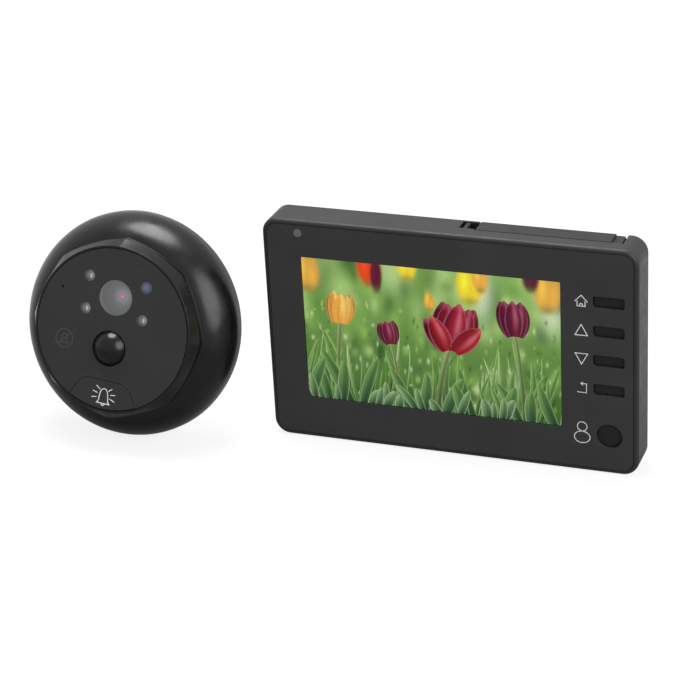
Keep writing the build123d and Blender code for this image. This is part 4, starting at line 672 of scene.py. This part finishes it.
def leaves(art, rng, count, reach, width, lean, low, tips, rim):
    """Leaves with their reach and width drawn between two numbers, and their lean up to one either way."""
    for _ in range(count):
        x, length, wide = rng.uniform(-SIDE, SIDE), rng.uniform(*reach), rng.uniform(*width)
        slope = rng.uniform(-lean, lean)
        tip = rng.choice(tips) if len(tips) > 1 else tips[0]
        bend = rng.uniform(-LEAF_BEND, LEAF_BEND)
        spine, widths = [], []
        for i in range(LEAF_STEPS + 1):
            t = i / LEAF_STEPS
            spine.append((x + length * (slope * t + bend * t * t * 0.6),
                          ROOTS_Z + length * t * (1 - 0.1 * t)))
            widths.append(wide * (0.5 + 0.9 * t) * (1 - t) ** 0.62 / 1.1 + 0.03)
        art.blade(spine, widths, low, tip, rim)


def tulip(art, rng, x, z, size, lean, palette, root):
    """A closed flower at (x, z), on a stem whose root lies some way to its side."""
    start = x + root
    spine = [(start + (x - start) * (i / STEM_STEPS) ** 1.8,
              ROOTS_Z + (z + size * 0.04 - ROOTS_Z) * i / STEM_STEPS) for i in range(STEM_STEPS + 1)]
    art.blade(spine, [0.05 * size + 0.12] * len(spine), *STEM)
    for dx, turn, wide, k in PETAL_SHARES:
        art.petal(rng, x + dx * size * 0.5, z, size * rng.uniform(0.92, 1.06), size * wide, turn + lean,
                  [tint(colour, k) for colour in palette])


def screen_picture():
    """The picture's layers from back to front, as one lit mesh."""
    rng = random.Random(SEED)
    art = Painting()
    soft_background(art, rng)
    leaves(art, rng, 60, (16, 36), (0.3, 1.0), 0.3, lin(58, 100, 44), BLADE_TIPS, lin(160, 196, 116))
    tulip(art, rng, -34, 3, 12, 4, GOLD, -2)
    tulip(art, rng, 31, 5, 13, -4, PLUM, 3)
    leaves(art, rng, 26, (12, 28), (1.0, 2.4), 0.3, lin(48, 84, 44), [lin(118, 162, 84)], LEAF_RIM)
    tulip(art, rng, -15, -3, 9, -12, PLUM, 3)
    dark, mid, pale = RED
    for dx, turn, length, k in OPEN_BEHIND:
        art.petal(rng, LARGE_X + dx * 0.4, LARGE_Z, length, 7, turn, (tint(dark, k), tint(mid, k), pale))
    tulip(art, rng, LARGE_X, LARGE_Z, 18, 12, RED, -5)
    for dx, turn, length in OPEN_IN_FRONT:
        art.petal(rng, LARGE_X + dx * 0.5, LARGE_Z - 0.2, length, 7.5, turn, (dark, BRIGHT_RED, pale))
    leaves(art, rng, 16, (12, 26), (2.4, 4.2), 0.5, lin(38, 76, 50), [lin(104, 146, 78)], LEAF_RIM)
    leaves(art, rng, 16, (5, 13), (2.0, 3.6), 0.6, lin(30, 64, 42), [lin(128, 166, 108)], lin(212, 226, 188))
    piece("screen_picture", art.verts, art.faces, INDOOR, "monitor", picture("lit_picture"),
          art.colours)


# Painted reflections over the emitters' windows: a grey disc with a painted glint, a bright glint stroke
# and thin dark lines. Points of the glint stroke and dark lines are from the window's middle.

EMITTERS = ((-11.35, 18.05), (-11.35, 5.95), (11.35, 5.95))
REFLECTION_DISC_R = 2.15
REFLECTION_DISC_DEPTH = -0.01
REFLECTION_DISC_RISE = 0.05
REFLECTION_DISC_RINGS, REFLECTION_DISC_SIDES = 6, 40
GLINT_X, GLINT_Z = 0.7, 0.15
GLINT_REACH = 2.9
# Painted glint: a bright stroke right of the window's middle
GLINT_STROKE = ((0.55, -0.75), (0.6, 0.8))
GLINT_STROKE_WIDTH = 0.46
# Thin dark lines: a stroke left of the glint and an arc round the window's left side
DARK_LINE = ((0.2, -1.3), (0.15, 1.2))
DARK_ARC_R = 1.85
DARK_LINE_WIDTH = 0.16
STROKE_DEPTH = -0.06
STROKE_THICK = 0.02


def reflection_disc(name, x, z, material):
    """A disc with a low dome, in rings of points round its middle."""
    verts, faces = [(x, REFLECTION_DISC_DEPTH - REFLECTION_DISC_RISE, z)], []
    for ring in range(1, REFLECTION_DISC_RINGS + 1):
        k = ring / REFLECTION_DISC_RINGS
        for i in range(REFLECTION_DISC_SIDES):
            a = 2 * math.pi * i / REFLECTION_DISC_SIDES
            verts.append((x + REFLECTION_DISC_R * k * math.cos(a), REFLECTION_DISC_DEPTH - REFLECTION_DISC_RISE * (1 - k * k),
                          z + REFLECTION_DISC_R * k * math.sin(a)))
    for i in range(REFLECTION_DISC_SIDES):
        faces.append((0, 1 + i, 1 + (i + 1) % REFLECTION_DISC_SIDES))
    for ring in range(REFLECTION_DISC_RINGS - 1):
        for i in range(REFLECTION_DISC_SIDES):
            a, b = 1 + ring * REFLECTION_DISC_SIDES + i, 1 + ring * REFLECTION_DISC_SIDES + (i + 1) % REFLECTION_DISC_SIDES
            faces.append((a, a + REFLECTION_DISC_SIDES, b + REFLECTION_DISC_SIDES, b))
    obj = piece(name, verts, faces, OUTDOOR, "fixed", material)
    for face in obj.data.polygons:
        face.use_smooth = True


def emitter(number, x, z):
    """The painted reflection of one window, whose middle is at (x, z): its disc, glint stroke and dark lines.
    """
    name = f"emitter_reflection_{number}"
    # The disc's colours are painted reflection: lightest at the painted glint beside the middle, darker grey
    # towards the rim
    reflection_disc(name, x, z, spotted(name, x + GLINT_X, z + GLINT_Z, GLINT_REACH,
                            (0.0, lin(172, 173, 174)), (0.16, lin(142, 143, 144)),
                            (0.45, lin(104, 105, 106)), (0.75, lin(72, 73, 74)), (1.0, lin(84, 85, 86))))
    glint = Strokes(STROKE_DEPTH, GLINT_STROKE_WIDTH, STROKE_THICK)
    glint.line(moved(GLINT_STROKE, x, z))
    glint.make(f"emitter_glint_{number}", OUTDOOR, "fixed", GLINT_GREY)
    dark_lines = Strokes(STROKE_DEPTH, DARK_LINE_WIDTH, STROKE_THICK)
    dark_lines.line(moved(DARK_LINE, x, z))
    dark_lines.arc(x, z, DARK_ARC_R, 100, 250, 14)
    dark_lines.make(f"emitter_dark_lines_{number}", OUTDOOR, "fixed", DARK_INK)


# Camera, from the photograph's perspective: its place and the directions to the right, down and ahead

CAMERA_PLACE = (0.26998, -0.73659, 0.35561)
CAMERA_RIGHT = (0.93684, 0.34614, -0.05018)
CAMERA_DOWN = (0.10296, -0.41004, -0.90624)
CAMERA_AHEAD = (-0.33427, 0.84383, -0.41978)
CAMERA_LENS, CAMERA_SENSOR = 125.84, 36.0
CAMERA_NEAR, CAMERA_FAR = 0.05, 20.0


def make_camera():
    """The photograph's point of view."""
    data = bpy.data.cameras.new("camera")
    data.lens, data.sensor_width = CAMERA_LENS, CAMERA_SENSOR
    data.clip_start, data.clip_end = CAMERA_NEAR, CAMERA_FAR
    camera = bpy.data.objects.new("camera", data)
    turn = Matrix([[x, -y, -z] for x, y, z in zip(CAMERA_RIGHT, CAMERA_DOWN, CAMERA_AHEAD)])
    camera.matrix_world = Matrix.Translation(CAMERA_PLACE) @ turn.to_4x4()
    bpy.context.scene.collection.objects.link(camera)
    bpy.context.scene.camera = camera


# Floor, world and lamps

FLOOR_LEVEL = -0.04284
FLOOR_HALF = 3.0
FLOOR_SCALE = 3
# The paper is dim for the light that it throws back, and pale where it is seen
PAPER_DIM, PAPER_DIM_PATCH = 0.17, 0.19
PAPER_SEEN = 0.86
WHITE_SEEN = 0.84
# In reflections it goes from dim to white between these places along Y, from in front of the units to behind
MIRRORED_FROM, MIRRORED_TO = -0.05, 0.08
MIRRORED_FRONT, MIRRORED_BACK = 0.05, 0.9
# The wall behind and to the left is a little brighter than the room in front
WALL_WAY = (-0.4, 0.9, 0.1)
WALL_FROM, WALL_TO = -0.3, 0.7
ROOM_LIGHT, WALL_LIGHT = 0.62, 0.85
# Name, place, what it points at, width and power
LAMPS = (("overhead", (-0.15, 0.12, 0.95), (-0.03, 0, 0), 0.62, 10),
         ("right", (0.86, -0.36, 0.48), (-0.03, 0, 0), 0.9, 8))


def make_floor():
    """A large sheet of pale paper under the units."""
    mesh = bpy.data.meshes.new("floor")
    mesh.from_pydata([(x * FLOOR_HALF, y * FLOOR_HALF, FLOOR_LEVEL)
                      for x, y in ((-1, -1), (1, -1), (1, 1), (-1, 1))], [], [(0, 1, 2, 3)])
    m = Material("floor")
    path = m.add("ShaderNodeLightPath")
    paper = m.add("ShaderNodeMix", data_type="RGBA", B=grey(PAPER_SEEN))
    m.link(path.outputs["Is Camera Ray"], paper.inputs["Factor"])
    m.link(m.ramp(m.noise(FLOOR_SCALE, 2), (0.3, grey(PAPER_DIM)), (0.7, grey(PAPER_DIM_PATCH))),
           paper.inputs["A"])
    matt = m.surface({"Base Color": paper.outputs["Result"]}, Roughness=0.9, Specular_IOR_Level=0.1)
    white = m.add("ShaderNodeEmission", Color=grey(1))
    m.link(m.shader_mix(white_share(m, path), matt, white.outputs[0]), m.out.inputs["Surface"])
    mesh.materials.append(m.mat)
    floor = bpy.data.objects.new("floor", mesh)
    bpy.context.scene.collection.objects.link(floor)


def white_share(m, path):
    """How white the floor is: mostly where it is seen, and in reflections behind the units only."""
    apart = m.add("ShaderNodeSeparateXYZ")
    m.link(m.coord, apart.inputs["Vector"])
    behind = m.ranged(apart.outputs["Y"], MIRRORED_FROM, MIRRORED_TO, MIRRORED_FRONT, MIRRORED_BACK)
    share = m.calc("MULTIPLY", path.outputs["Is Glossy Ray"], behind)
    for ray in ("Is Camera Ray", "Is Transmission Ray"):
        share = m.calc("MAXIMUM", share, m.calc("MULTIPLY", path.outputs[ray], WHITE_SEEN))
    return share


def make_world():
    """White where it is seen, and soft light from all round."""
    world = bpy.data.worlds.new("studio")
    bpy.context.scene.world = world
    t = Tree(world)
    out = t.add("ShaderNodeOutputWorld")
    path = t.add("ShaderNodeLightPath")
    seen = t.add("ShaderNodeBackground", Color=grey(1), Strength=1.0)
    light = t.add("ShaderNodeBackground", Color=grey(1))
    coord = t.add("ShaderNodeTexCoord")
    wall = t.add("ShaderNodeVectorMath", operation="DOT_PRODUCT")
    wall.inputs[1].default_value = WALL_WAY
    t.link(coord.outputs["Generated"], wall.inputs[0])
    t.link(t.ranged(wall.outputs["Value"], WALL_FROM, WALL_TO, ROOM_LIGHT, WALL_LIGHT),
           light.inputs["Strength"])
    looks = t.calc("MAXIMUM", path.outputs["Is Camera Ray"], path.outputs["Is Transmission Ray"])
    t.link(t.shader_mix(looks, light.outputs[0], seen.outputs[0]), out.inputs["Surface"])


def lamp(name, place, aim, size, power):
    """A round lamp that points at some place."""
    data = bpy.data.lights.new(name, "AREA")
    data.shape, data.size, data.energy = "DISK", size, power
    obj = bpy.data.objects.new(name, data)
    obj.location = place
    obj.rotation_mode = "QUATERNION"
    obj.rotation_quaternion = (Vector(aim) - Vector(place)).to_track_quat("-Z", "Y")
    bpy.context.scene.collection.objects.link(obj)


dress_solids()
key_marks()
bell_marks()
screen_picture()
for number, (x, z) in enumerate(EMITTERS):
    emitter(number, x, z)
make_camera()
make_floor()
make_world()
for values in LAMPS:
    lamp(*values)

bpy.context.scene.view_settings.view_transform = "Standard"
